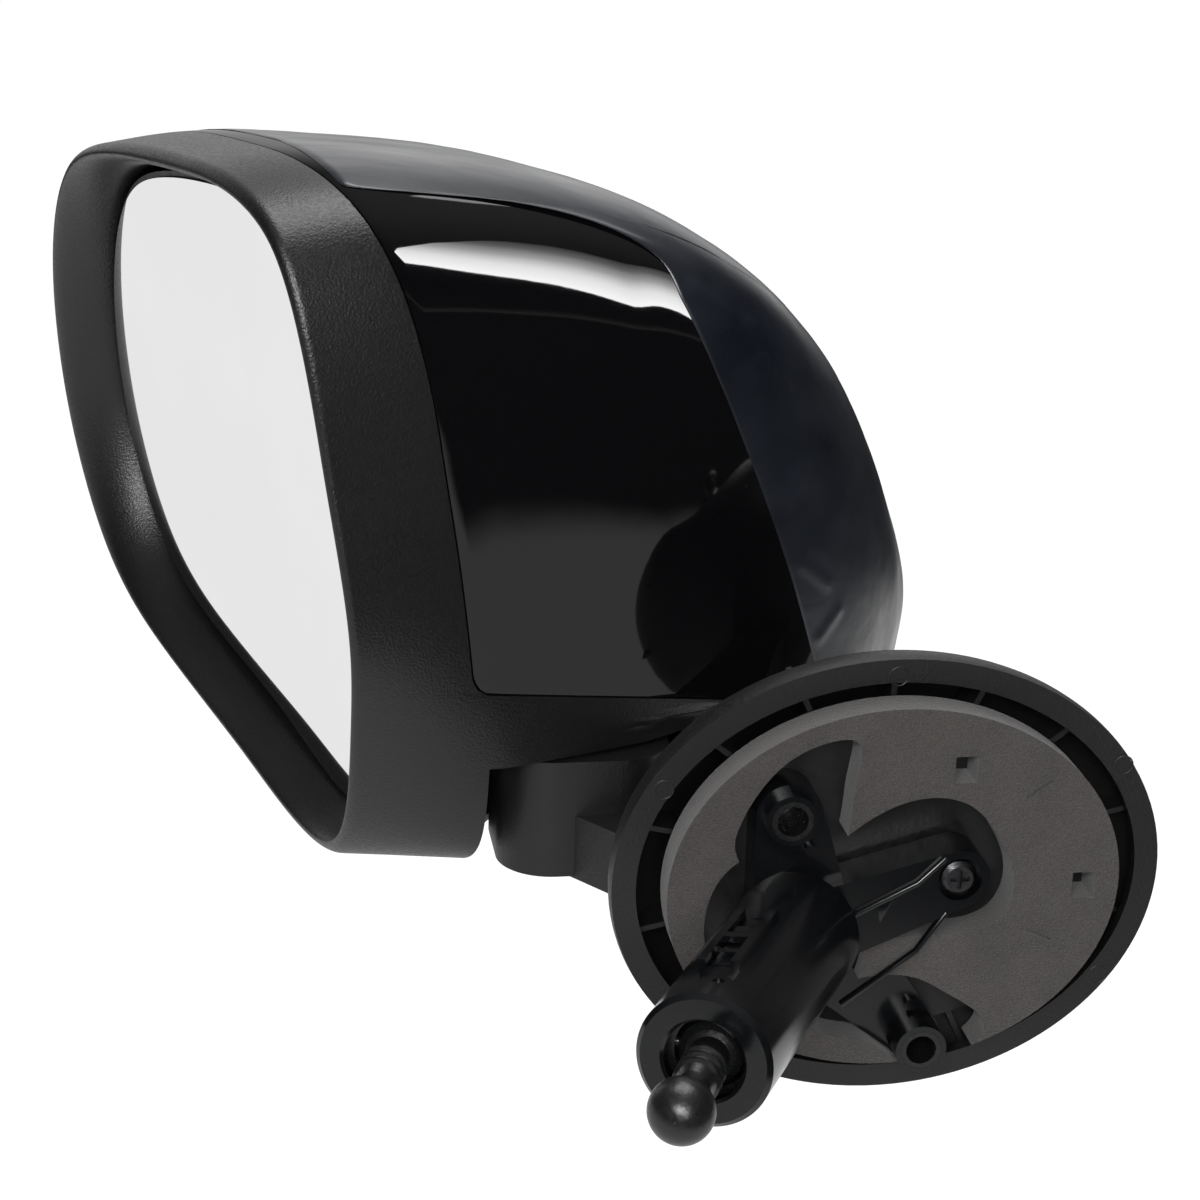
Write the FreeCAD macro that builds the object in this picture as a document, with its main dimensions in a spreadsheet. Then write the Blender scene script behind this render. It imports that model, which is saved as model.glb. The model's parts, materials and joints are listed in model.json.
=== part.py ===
import FreeCAD, Part
import Sketcher
import math
import os

# Cable-adjusted side mirror of a car, left-hand side.
# Base frame in millimetres: the origin is the centre of the foot's oval on the door face,
# +X points into the car, +Y forwards and +Z up.

from FreeCAD import Placement, Rotation, Vector

SIZES = {
    # foot: oval dish with a lip, seated on the door at X = 0
    "footHalfLength": 60.0,
    "footHalfHeight": 50.0,
    "lipWidth": 5.2,
    "dishDepth": 25.0,
    "coverWall": 2.5,
    "plateBack": 8.0,
    "plateFront": 2.0,
    "plateMargin": 8.8,
    "ribCount": 14.0,
    "ribThick": 1.2,
    "foamProud": 6.0,
    "foamMargin": 5.6,
    # arm between the dish and the fold knuckle
    "neckWide": 30.0,
    "neckTop": -10.0,
    "neckBottom": -26.0,
    "knuckleSide": 41.0,
    "knuckleCorner": 13.0,
    "knuckleTop": 3.5,
    "knuckleBottom": -25.5,
    "pivotInboard": -82.0,
    "pivotForward": -55.5,
    # fold pivot
    "shaftOuter": 7.0,
    "shaftBore": 4.75,
    "shaftTop": 49.0,
    "flangeOuter": 11.0,
    "flangeThick": 3.0,
    "detentThick": 2.0,
    "hubOuter": 13.0,
    "hubTall": 12.0,
    "springWire": 1.5,
    "springCoil": 10.3,
    "springTurns": 5.0,
    "cupThick": 2.5,
    "nutThick": 4.0,
    "runningFit": 0.05,
    "clearance": 0.5,
    # lever bracket: sleeve, three arms, bosses
    "bracketBack": 2.0,
    "sleeveOuter": 13.4,
    "sleeveBore": 10.4,
    "sleeveDepth": 66.0,
    "sleeveChamber": 24.0,
    "cableBore": 4.0,
    "collarBore": 7.9,
    "collarThick": 2.4,
    "mouthAbove": 7.5,
    "mouthInboard": 70.0,
    "mouthForward": -53.5,
    "mouthUp": -2.4,
    "sleeveTurn": -27.7,
    "sleeveRise": 3.8,
    "armThick": 9.0,
    "lowerWeb": 4.0,
    "latchTurn": 8.0,
    "latchLow": -33.0,
    "latchLong": 26.0,
    "latchWide": 5.0,
    "railHigh": 1.6,
    "bossOuter": 5.6,
    "bossTop": 10.0,
    "insertOuter": 4.4,
    "insertBore": 3.3,
    "screwRing": 6.6,
    "screwHead": 3.9,
    "screwShank": 2.0,
    # lever
    "ballRadius": 6.8,
    "leverNeck": 3.9,
    "ridgeRadius": 4.5,
    "leverReach": 33.5,
    "knobRadius": 6.2,
    "swivelOuter": 9.9,
    "swivelInner": 7.3,
    "swivelHalf": 2.2,
    "swivelPin": 1.1,
    "anchorRadius": 5.0,
    "anchorDrop": 13.0,
    "leverTurn": 6.4,
    "leverNod": 4.4,
    # head
    "headTurn": 20.0,
    "rimLean": 8.0,
    "rimInboard": -177.0,
    "rimForward": -92.8,
    "rimUp": 57.0,
    "headHalfWidth": 98.5,
    "headHalfHeight": 81.5,
    "shellWall": 2.5,
    "lipAround": 6.5,
    "lipNear": 3.5,
    "lipFar": 14.5,
    "returnDepth": 17.0,
    "seamDepth": 27.0,
    "seamGap": 0.4,
    "skirtTop": -37.0,
    "skirtFall": 0.335,
    "notchRear": -55.5,
    "notchFront": -8.0,
    "notchReach": -103.0,
    "notchGap": 1.0,
    "foldBack": 50.0,
    "foldForward": 35.0,
    # glass and its gimbal
    "glassDeep": 22.5,
    "glassTurn": 0.0,
    "glassGap": 2.0,
    "glassThick": 2.0,
    "holderThick": 2.5,
    "holderLift": 6.0,
    "gimbalOuter": 17.0,
    "gimbalInner": 12.5,
    "gimbalHalf": 3.0,
    "gimbalPin": 1.5,
    "postOuter": 10.0,
    "postAbove": 2.0,
    "earGap": 1.0,
    "earThick": 4.0,
    "nippleRing": 29.0,
    "nippleOuter": 2.5,
    # inner frame of the head
    "carrierDeep": 40.0,
    "carrierThick": 4.0,
    "carrierDisc": 36.0,
    "carrierArm": 15.0,
    "postScrew": 1.5,
    "bezelPost": 2.9,
    # control cables
    "sheathRadius": 2.6,
    "cableRadius": 1.3,
}

# Outer outline of the rim in the rim's own plane, as shares of the half width and half height.
RIM_SHAPE = [
    (0.67, -1.00), (0.93, -0.50), (1.00, -0.24), (1.00, 0.26), (0.975, 0.64), (0.88, 0.90),
    (0.70, 0.99), (0.35, 1.00), (-0.28, 0.92), (-0.56, 0.82), (-0.84, 0.54), (-1.00, 0.13),
    (-1.00, -0.34), (-0.87, -0.63), (-0.48, -0.84), (0.10, -0.98),
]

# The same outline behind the rim, where the lower inboard corner fills out.
BODY_SHAPE = [(0.87, -1.00), (0.985, -0.62)] + RIM_SHAPE[2:]

# Stations of the head from the rim forwards: depth, near, outboard, top and bottom extents,
# and how far the outline has turned from the rim's shape into an ellipse.
HEAD_STATIONS = [
    (0.0, 98.5, -98.5, 81.5, -81.5, 0.0),
    (22.0, 99.0, -99.5, 80.5, -85.0, 0.0),
    (50.0, 99.0, -97.0, 74.5, -88.5, 0.0),
    (80.0, 99.0, -89.0, 65.5, -92.0, 0.05),
    (108.0, 98.5, -74.0, 50.5, -94.5, 0.1),
    (130.0, 93.0, -54.0, 32.0, -96.0, 0.25),
    (148.0, 82.0, -32.0, 9.5, -96.0, 0.45),
    (162.0, 69.0, -8.0, -17.0, -93.0, 0.7),
    (171.5, 56.0, 10.0, -40.0, -88.0, 0.9),
    (177.5, 42.0, 23.0, -57.0, -79.0, 1.0),
    (179.0, 36.0, 29.0, -65.0, -71.0, 1.0),
]

doc = FreeCAD.newDocument("side_mirror")
sheet = doc.addObject("Spreadsheet::Sheet", "Sizes")
parts = {}


def fill_sheet():
    for row, (alias, value) in enumerate(SIZES.items(), start=1):
        sheet.set(f"A{row}", alias)
        sheet.set(f"B{row}", str(value))
        sheet.setAlias(f"B{row}", alias)
    doc.recompute()


def size(alias):
    return float(sheet.get(alias))


def bind(item, **formulas):
    for prop, formula in formulas.items():
        item.setExpression(prop, formula)


def keep(name, item, place=None):
    item.Label = name
    if place is not None:
        item.Placement = place
    parts[name] = item
    return item


def keep_shape(name, shape, place=None):
    item = doc.addObject("Part::Feature", name)
    item.Shape = shape
    return keep(name, item, place or Placement())


def cylinder(name, radius, height, place=None):
    item = doc.addObject("Part::Cylinder", name)
    bind(item, Radius=radius, Height=height)
    item.Placement = place or Placement()
    return item


def cut(name, base, *tools):
    item = doc.addObject("Part::Cut", name)
    item.Base = base
    item.Tool = tools[0] if len(tools) == 1 else fuse(name + "_tools", *tools)
    return item


def fuse(name, *shapes):
    item = doc.addObject("Part::MultiFuse", name)
    item.Shapes = list(shapes)
    return item


def at(x, y, z, axis=Vector(0, 0, 1), angle=0.0):
    return Placement(Vector(x, y, z), Rotation(axis, angle))


def along(point, direction):
    return Placement(Vector(*point), Rotation(Vector(0, 0, 1), Vector(*direction)))


def origin_plane(body, role):
    return next(item for item in body.Origin.OriginFeatures if item.Role == role)


def turned_body(name, outline, place=None):
    """Body turned about its own Z axis from (radius, height) corners given as sheet formulas."""
    body = doc.addObject("PartDesign::Body", name)
    sketch = body.newObject("Sketcher::SketchObject", name + "_profile")
    sketch.AttachmentSupport = [(origin_plane(body, "XZ_Plane"), "")]
    sketch.MapMode = "FlatFace"
    corners = [(evaluate(r), evaluate(h)) for r, h in outline]
    count = len(corners)
    for i, (r, h) in enumerate(corners):
        r2, h2 = corners[(i + 1) % count]
        sketch.addGeometry(Part.LineSegment(Vector(r, h, 0), Vector(r2, h2, 0)))
    for i, (radius, height) in enumerate(outline):
        for kind, formula in (("DistanceX", radius), ("DistanceY", height)):
            number = evaluate(formula)
            rule = sketch.addConstraint(bound_corner(kind, i, number))
            if abs(number) > 1e-9:
                sketch.setExpression(f"Constraints[{rule}]", signed(formula, number))
        following = (i + 1) % count
        sketch.addConstraint(coincident(i, following))
    spin = body.newObject("PartDesign::Revolution", name + "_turn")
    spin.Profile = sketch
    spin.ReferenceAxis = (sketch, ["V_Axis"])
    spin.Angle = 360.0
    sketch.Visibility = False
    return keep(name, body, place)


def evaluate(formula):
    return float(sheet.evalExpression(formula))


def signed(formula, number):
    return formula if number > 0 else f"-({formula})"


def bound_corner(kind, line, number):
    if abs(number) <= 1e-9:
        axis = -2 if kind == "DistanceX" else -1
        return Sketcher.Constraint("PointOnObject", line, 1, axis)
    if number > 0:
        return Sketcher.Constraint(kind, -1, 1, line, 1, number)
    return Sketcher.Constraint(kind, line, 1, -1, 1, -number)


def coincident(line, following):
    return Sketcher.Constraint("Coincident", line, 2, following, 1)


# Frames of the head, the glass, the sleeve and the fold pivot.


def head_frame():
    return at(0, 0, 0, Vector(0, 0, 1), size("headTurn"))


def rim_frame():
    """Local X runs inboard along the rim, Y up it and Z rearwards out of it."""
    rim = at(size("rimInboard"), size("rimForward"), size("rimUp"), Vector(1, 0, 0), 90 + size("rimLean"))
    return head_frame().multiply(rim)


def glass_frame():
    glass = at(0, 0, -size("glassDeep"), Vector(0, 1, 0), size("glassTurn"))
    return rim_frame().multiply(glass)


def sleeve_direction():
    turn = math.radians(size("sleeveTurn"))
    rise = math.radians(size("sleeveRise"))
    return Vector(math.cos(rise) * math.cos(turn), math.cos(rise) * math.sin(turn), math.sin(rise))


def sleeve_frame():
    """Origin at the lever's swivel centre, Z out of the sleeve's mouth."""
    mouth = Vector(size("mouthInboard"), size("mouthForward"), size("mouthUp"))
    out = sleeve_direction()
    centre = mouth - out * size("mouthAbove")
    side = Vector(0, 0, 1).cross(out).normalize()
    return Placement(centre, Rotation(side.cross(out), side, out, "ZYX"))


def swivel_frame():
    """The sleeve's frame turned about its upright axis to where the lever rests."""
    return sleeve_frame().multiply(at(0, 0, 0, Vector(1, 0, 0), -size("leverTurn")))


def lever_frame():
    return swivel_frame().multiply(at(0, 0, 0, Vector(0, 1, 0), -size("leverNod")))


def pivot_frame(height=0.0):
    return at(size("pivotInboard"), size("pivotForward"), height)


# Shapes shared by several pieces.


def closed_curve(points):
    curve = Part.BSplineCurve()
    curve.interpolate(points, PeriodicFlag=True)
    return Part.Wire(curve.toShape())


def opening_prism(grow, low, high):
    """Rim outline shrunk to the lip's opening, grown all round, with straight walls."""
    near = size("headHalfWidth") - size("lipNear") + grow
    far = size("lipFar") - size("headHalfWidth") - grow
    tall = size("headHalfHeight") - size("lipAround") + grow
    middle = (near + far) / 2
    wide = (near - far) / 2
    points = [Vector(middle + u * wide, v * tall, low) for u, v in RIM_SHAPE]
    return Part.Face(closed_curve(points)).extrude(Vector(0, 0, high - low))


def body_shape(depth):
    share = min(1.0, depth / 35.0)
    mixed = []
    for (u, v), (u2, v2) in zip(RIM_SHAPE, BODY_SHAPE):
        mixed.append((u + share * (u2 - u), v + share * (v2 - v)))
    return mixed


def head_section(station, wall):
    depth, near, outboard, top, bottom, turned = station
    wide = (near - outboard) / 2 * size("headHalfWidth") / 98.5 - wall
    tall = (top - bottom) / 2 * size("headHalfHeight") / 81.5 - wall
    middle = (near + outboard) / 2
    level = (top + bottom) / 2
    points = []
    for u, v in body_shape(depth):
        angle = math.atan2(v, u)
        across = (1 - turned) * u + turned * math.cos(angle)
        up = (1 - turned) * v + turned * math.sin(angle)
        points.append(Vector(middle + across * wide, level + up * tall, -depth))
    return closed_curve(points)


def head_loft(wall, start):
    last = HEAD_STATIONS[-1][0]
    wires = []
    for station in HEAD_STATIONS:
        depth = station[0] - wall * station[0] / last
        moved = (max(depth, start),) + station[1:]
        wires.append(head_section(moved, wall))
    return Part.makeLoft(wires, True, False)


def cap_region(gap):
    """Space that the cap fills: forward of the rear seam and above the skirt."""
    far = 200.0
    seam = size("seamDepth") + gap
    foot = size("skirtTop") + gap
    bend = 5.0
    curve = Part.BSplineCurve()
    rear = [(seam - 12, 92), (seam - 6.5, 75), (seam - 3, 60), (seam - 0.8, 40), (seam, 10)]
    rear.append((seam + 0.5, foot + bend))
    curve.interpolate([Vector(-130, y, -t) for t, y in rear])
    corner = Vector(-130, foot + 0.3 * bend, -(seam + 0.5 + 0.3 * bend))
    start = Vector(-130, foot + bend, -(seam + 0.5))
    end = Vector(-130, foot - size("skirtFall") * bend, -(seam + 0.5 + bend))
    front = Vector(-130, foot - size("skirtFall") * (far - seam), -far)
    top_front = Vector(-130, 120, -far)
    top_rear = Vector(-130, 120, -(seam - 12))
    first = Vector(-130, 92, -(seam - 12))
    edges = [curve.toShape(), Part.Arc(start, corner, end).toShape()]
    for a, b in ((end, front), (front, top_front), (top_front, top_rear), (top_rear, first)):
        edges.append(Part.makeLine(a, b))
    wire = Part.Wire(Part.__sortEdges__(edges))
    return Part.Face(wire).extrude(Vector(260, 0, 0))


def rounded_square(side, corner, low, high):
    half = side / 2
    box = Part.makeBox(side, side, high - low, Vector(-half, -half, low))
    uprights = [edge for edge in box.Edges if abs(edge.BoundBox.ZLength - (high - low)) < 1e-6]
    return box.makeFillet(corner, uprights)


def neck_angle():
    """Heading of the neck from the fold pivot to the middle of the dish's plate."""
    return math.degrees(math.atan2(-size("pivotForward"), -size("pivotInboard") - size("plateBack")))


def neck_box(wide, low, high, reach, extra_turn=0.0):
    """Bar from the fold pivot towards the dish, in the pivot's frame."""
    bar = Part.makeBox(reach, wide, high - low, Vector(0, -wide / 2, low))
    bar.rotate(Vector(0, 0, 0), Vector(0, 0, 1), neck_angle() + extra_turn)
    return bar


def neck_length():
    return math.hypot(size("pivotForward"), size("pivotInboard") + size("plateBack"))


def fold_clearance():
    """Space swept by the knuckle and neck, seen from the head, over the whole fold."""
    gap = size("notchGap")
    deep = -80.0
    corner = (size("knuckleSide") / 2 - size("knuckleCorner")) * math.sqrt(2) + size("knuckleCorner")
    space = Part.makeCylinder(corner + gap, size("knuckleTop") + gap - deep, Vector(0, 0, deep))
    top = size("neckTop") + gap
    wide = size("neckWide") + 2 * gap
    turns = int((size("foldBack") + size("foldForward")) / 17) + 1
    step = (size("foldBack") + size("foldForward")) / turns
    for number in range(turns + 1):
        bar = neck_box(wide, deep, top, 130.0, number * step - size("foldBack"))
        space = space.fuse(bar)
    space.Placement = pivot_frame()
    low = Vector(size("notchReach"), size("notchRear"), deep)
    window = Part.makeBox(60, size("notchFront") - size("notchRear"), size("knuckleTop") + gap - deep, low)
    window.Placement = head_frame().multiply(window.Placement)
    return space.fuse(window)


def ellipse_wire(along_y, along_z, x):
    centre = Vector(x, 0, 0)
    if along_y >= along_z:
        curve = Part.Ellipse(centre + Vector(0, along_y, 0), centre + Vector(0, 0, along_z), centre)
    else:
        curve = Part.Ellipse(centre + Vector(0, 0, along_z), centre + Vector(0, along_y, 0), centre)
    return Part.Wire(curve.toShape())


def ellipse_prism(along_y, along_z, low, high):
    return Part.Face(ellipse_wire(along_y, along_z, low)).extrude(Vector(high - low, 0, 0))


def two_circle_plate(start, end, r_start, r_end, low, high):
    """Plate with two round ends in the Y-Z plane, thick along X."""
    y1, z1 = start
    y2, z2 = end
    first = Part.makeCylinder(r_start, high - low, Vector(low, y1, z1), Vector(1, 0, 0))
    second = Part.makeCylinder(r_end, high - low, Vector(low, y2, z2), Vector(1, 0, 0))
    length = math.hypot(y2 - y1, z2 - z1)
    side = math.acos((r_start - r_end) / length)
    heading = math.atan2(z2 - z1, y2 - y1)
    corners = []
    for centre, radius in ((start, r_start), (end, r_end)):
        for sign in (1, -1):
            angle = heading + sign * side
            y = centre[0] + radius * math.cos(angle)
            z = centre[1] + radius * math.sin(angle)
            corners.append(Vector(low, y, z))
    loop = [corners[0], corners[1], corners[3], corners[2], corners[0]]
    web = Part.Face(Part.makePolygon(loop)).extrude(Vector(high - low, 0, 0))
    return web.fuse([first, second]).removeSplitter()


# Foot: everything fixed to the door.

BOSS_UPPER = (-24.0, 18.6)
BOSS_LOWER = (6.9, -36.2)
SCREW_SPOT = (12.7, 3.8)
COVER_SCREWS = [(-30.0, -14.0), (28.0, 20.0), (30.0, -16.0)]


def dish(grow, deep):
    long = size("footHalfLength") + grow
    tall = size("footHalfHeight") + grow
    shares = [(0.0, 1.0), (0.2, 1.0), (0.52, 0.93), (0.8, 0.77), (1.0, 0.52)]
    wires = [ellipse_wire(long * share, tall * share, -deep * depth) for depth, share in shares]
    return Part.makeLoft(wires, True, False)


def make_foot_cover():
    wall = size("coverWall")
    gap = size("clearance")
    shell = dish(0.0, size("dishDepth"))
    neck = neck_box(size("neckWide"), size("neckBottom"), size("neckTop"), neck_length() - 8)
    low, high = size("knuckleBottom"), size("knuckleTop")
    knuckle = rounded_square(size("knuckleSide"), size("knuckleCorner"), low, high)
    arm = neck.fuse(knuckle)
    arm.Placement = pivot_frame()
    hollow = dish(-wall, size("dishDepth") - wall)
    lip = size("lipWidth")
    mouth = ellipse_prism(size("footHalfLength") - lip, size("footHalfHeight") - lip, -4, 1)
    keep_lip = ellipse_prism(size("footHalfLength") + 1, size("footHalfHeight") + 1, -2.5, 0)
    hollow = hollow.cut(keep_lip).fuse(mouth)
    below = size("neckBottom") - 5
    inner_neck = neck_box(size("neckWide") - 2 * wall, below, size("neckTop") - wall, neck_length() + 2)
    inner_side = size("knuckleSide") - 2 * wall
    inner_corner = size("knuckleCorner") - wall
    inner_knuckle = rounded_square(inner_side, inner_corner, low - 5, high - wall)
    hub_hole = Part.makeCylinder(size("flangeOuter") + gap, 30, Vector(0, 0, size("knuckleTop") - 15))
    inner_arm = inner_neck.fuse([inner_knuckle, hub_hole])
    inner_arm.Placement = pivot_frame()
    cover = shell.fuse(arm).cut(hollow.fuse(inner_arm))
    ribs = []
    count = int(size("ribCount"))
    inside = ellipse_prism(size("footHalfLength") - 3, size("footHalfHeight") - 3, -14, -5)
    inside = inside.cut(ellipse_prism(plate_half()[0] + gap, plate_half()[1] + gap, -15, 0))
    for number in range(count):
        rib = Part.makeBox(10, 80, size("ribThick"), Vector(-14.5, 0, -size("ribThick") / 2))
        rib.rotate(Vector(0, 0, 0), Vector(1, 0, 0), 360.0 * (number + 0.5) / count)
        ribs.append(rib.common(inside))
    for y, z in COVER_SCREWS:
        post = Part.makeCylinder(4.0, 14, Vector(-size("plateBack") - 14, y, z), Vector(1, 0, 0))
        hole = Part.makeCylinder(1.6, 12, Vector(-size("plateBack") - 10, y, z), Vector(1, 0, 0))
        ribs.append(post.common(shell).cut(hole))
    cover = cover.fuse(ribs).removeSplitter()
    keep_shape("foot_cover", cover)


def plate_half():
    return (size("footHalfLength") - size("lipWidth") - size("plateMargin"),
            size("footHalfHeight") - size("lipWidth") - size("plateMargin"))


def make_foot_base():
    wall = size("coverWall")
    gap = size("clearance")
    back = -size("plateBack")
    front = -size("plateFront")
    plate = ellipse_prism(plate_half()[0], plate_half()[1], back, front)
    wide = size("neckWide") - 2 * wall - 2 * gap
    top = size("neckTop") - wall - gap
    neck = neck_box(wide, size("neckBottom") + 1, top, neck_length() + 1)
    side = size("knuckleSide") - 2 * wall - 2 * gap
    corner = size("knuckleCorner") - wall - gap
    knuckle = rounded_square(side, corner, size("knuckleBottom") + 1, size("knuckleTop") - wall - gap)
    hub = Part.makeCylinder(size("flangeOuter"), 12, Vector(0, 0, size("knuckleTop") - 11))
    groove = neck_box(9.0, size("neckBottom") - 5, size("neckBottom") + 9.5, neck_length() - 6)
    bore = Part.makeCylinder(size("shaftOuter") + 0.1, 80, Vector(0, 0, -40))
    seat = Part.makeCylinder(size("flangeOuter") + 0.3, 40, Vector(0, 0, -40 + flange_bottom()))
    arm = neck.fuse([knuckle, hub]).cut(groove.fuse([bore, seat]))
    arm.Placement = pivot_frame()
    base = plate.fuse(arm)
    for y, z in COVER_SCREWS:
        base = base.cut(Part.makeCylinder(1.7, 12, Vector(back - 1, y, z), Vector(1, 0, 0)))
        base = base.cut(Part.makeCylinder(3.4, 3, Vector(front - 2.2, y, z), Vector(1, 0, 0)))
    y, z = SCREW_SPOT
    base = base.cut(Part.makeCylinder(size("screwShank") + 0.1, 12, Vector(back - 1, y, z), Vector(1, 0, 0)))
    passage = sheath_tube(size("cableBore"))
    proud = Part.makeBox(40, 140, 140, Vector(front, -70, -70))
    base = base.cut([passage, proud]).removeSplitter()
    keep_shape("foot_base", largest_solid(base))


def flange_bottom():
    return size("knuckleBottom") + 13.0


def foam_opening(corners):
    curve = Part.BSplineCurve()
    curve.interpolate([Vector(-5, y, z) for y, z in corners], PeriodicFlag=True)
    return Part.Face(Part.Wire(curve.toShape())).extrude(Vector(20, 0, 0))


def make_foam_gasket():
    back = -size("plateFront")
    long = size("footHalfLength") - size("lipWidth") - size("foamMargin")
    tall = size("footHalfHeight") - size("lipWidth") - size("foamMargin") + 2.0
    foam = ellipse_prism(long, tall, back, size("foamProud"))
    upper = [(-35, 14), (-28, 27), (-20, 33), (-10, 34), (-10, 24), (-12, 10), (-24, 0)]
    middle = [(-16, 8), (-4, 18), (6, 21), (15, 19), (22, 11)]
    middle += [(26, 0), (23, -8), (15, -11), (4, -11), (-14, -10)]
    lower = [(-16, -24), (-4, -20), (6, -21), (13, -25), (22, -34)]
    lower += [(18, -39), (6, -42.5), (-4, -36), (-16, -31)]
    root = [(-40, 0), (-30, 10), (-14, 8), (-6, -8), (-12, -28), (-26, -30), (-38, -18)]
    for corners in (upper, middle, lower, root):
        foam = foam.cut(foam_opening(corners))
    for y, z in ((13.7, 27.1), (41.4, -0.6)):
        foam = foam.cut(Part.makeBox(20, 5.0, 6.0, Vector(-5, y - 2.5, z - 3.0)))
    for y, z, tilt in ((29.9, 22.0, 35.0), (32.3, -12.0, -25.0)):
        slit = Part.makeBox(20, 6.5, 0.7, Vector(-5, -3.25, -0.35))
        slit.rotate(Vector(0, 0, 0), Vector(1, 0, 0), tilt)
        slit.translate(Vector(0, y, z))
        foam = foam.cut(slit)
    foam = foam.cut(bracket_arms(0.5))
    keep_shape("foam_gasket", largest_solid(foam.removeSplitter()))


def sleeve_blank():
    low = size("mouthAbove") - size("sleeveDepth") - size("collarThick")
    tall = size("mouthAbove") - size("collarThick") - low
    tube = Part.makeCylinder(size("sleeveOuter"), tall, Vector(0, 0, low))
    tube.Placement = sleeve_frame()
    return tube


def sleeve_hollow():
    top = size("mouthAbove") - size("collarThick")
    deep = size("sleeveChamber")
    chamber = Part.makeCylinder(size("sleeveBore"), deep + 1, Vector(0, 0, top - deep))
    cable = Part.makeCylinder(size("cableBore"), 120, Vector(0, 0, -110))
    pins = Part.makeCylinder(size("swivelPin") + size("runningFit"), 40, Vector(-20, 0, 0), Vector(1, 0, 0))
    wide = size("latchWide")
    slot = Part.makeBox(5.4, wide, size("latchLong"), Vector(-size("sleeveOuter") - 2, -wide / 2, size("latchLow")))
    slot.rotate(Vector(0, 0, 0), Vector(0, 0, 1), size("latchTurn"))
    hollow = chamber.fuse([cable, pins, slot])
    hollow.Placement = sleeve_frame()
    return hollow


def latch_rails():
    """Raised rails on both sides of the latch's slot."""
    half = size("latchWide") / 2
    outer = size("sleeveOuter") + size("railHigh")
    rails = []
    for side in (1, -1):
        start = half if side > 0 else -half - 1.7
        rail = Part.makeBox(4.0, 1.7, size("latchLong") + 2, Vector(-outer, start, size("latchLow") - 1))
        rail.rotate(Vector(0, 0, 0), Vector(0, 0, 1), size("latchTurn"))
        rail.Placement = sleeve_frame().multiply(rail.Placement)
        rails.append(rail)
    return rails


def latch_bridge():
    half = size("latchWide") / 2
    outer = size("sleeveOuter") + size("railHigh")
    bridge = Part.makeBox(1.3, 2 * half + 1, 2.4, Vector(-outer, -half - 0.5, size("latchLow") + 12))
    bridge.rotate(Vector(0, 0, 0), Vector(0, 0, 1), size("latchTurn"))
    bridge.Placement = sleeve_frame().multiply(bridge.Placement)
    return bridge


def bracket_arms(grow):
    back = -size("bracketBack")
    top = size("bossTop")
    web = back + size("lowerWeb")
    root = (-20.0, -7.5)
    upper_end = size("bossOuter") + 1.5 + grow
    lower_end = size("bossOuter") + 0.3 + grow
    return [
        two_circle_plate(root, BOSS_UPPER, 11.0 + grow, upper_end, back, back + size("armThick")),
        two_circle_plate(root, SCREW_SPOT, 9.0 + grow, size("screwRing") + grow, back + 2, top),
        two_circle_plate(root, BOSS_LOWER, 12.0 + grow, lower_end, back, web),
    ]


def make_lever_bracket():
    back = -size("bracketBack")
    top = size("bossTop")
    thick = size("armThick")
    arms = bracket_arms(0.0)
    for (y, z), web in ((BOSS_UPPER, thick), (BOSS_LOWER, size("lowerWeb"))):
        arms.append(Part.makeCylinder(size("bossOuter"), top - back, Vector(back, y, z), Vector(1, 0, 0)))
        pip = Vector(back + web - 0.5, y + (4.6 if z > 0 else -1.0), z + (-7.5 if z > 0 else 7.5))
        arms.append(Part.makeCylinder(1.3, 2.0, pip, Vector(1, 0, 0)))
    body = sleeve_blank()
    flat = Part.makeBox(90, 200, 200, Vector(back, -100, -100))
    body = body.fuse(latch_rails()).common(flat).fuse(arms)
    body = body.cut([sleeve_hollow(), sheath_tube(size("cableBore"))]).fuse(latch_bridge())
    for y, z in (BOSS_UPPER, BOSS_LOWER):
        body = body.cut(Part.makeCylinder(size("insertOuter") + 0.05, 40, Vector(-20, y, z), Vector(1, 0, 0)))
    y, z = SCREW_SPOT
    body = body.cut(Part.makeCylinder(size("screwShank") + 0.1, 40, Vector(-20, y, z), Vector(1, 0, 0)))
    body = body.cut(Part.makeCylinder(size("screwHead") + 0.9, 3.5, Vector(top - 2.5, y, z), Vector(1, 0, 0)))
    keep_shape("lever_bracket", body.removeSplitter())


def make_boss_inserts():
    ring = cylinder("insert_blank", "Sizes.insertOuter", "Sizes.bossTop + Sizes.bracketBack")
    bore = cylinder("insert_bore", "Sizes.insertBore", "Sizes.bossTop + Sizes.bracketBack")
    insert = cut("insert_one", ring, bore)
    doc.recompute()
    pair = []
    for y, z in (BOSS_UPPER, BOSS_LOWER):
        copy = insert.Shape.copy()
        copy.Placement = along((-size("bracketBack"), y, z), (1, 0, 0))
        pair.append(copy)
    keep_shape("boss_inserts", Part.makeCompound(pair))


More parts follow.
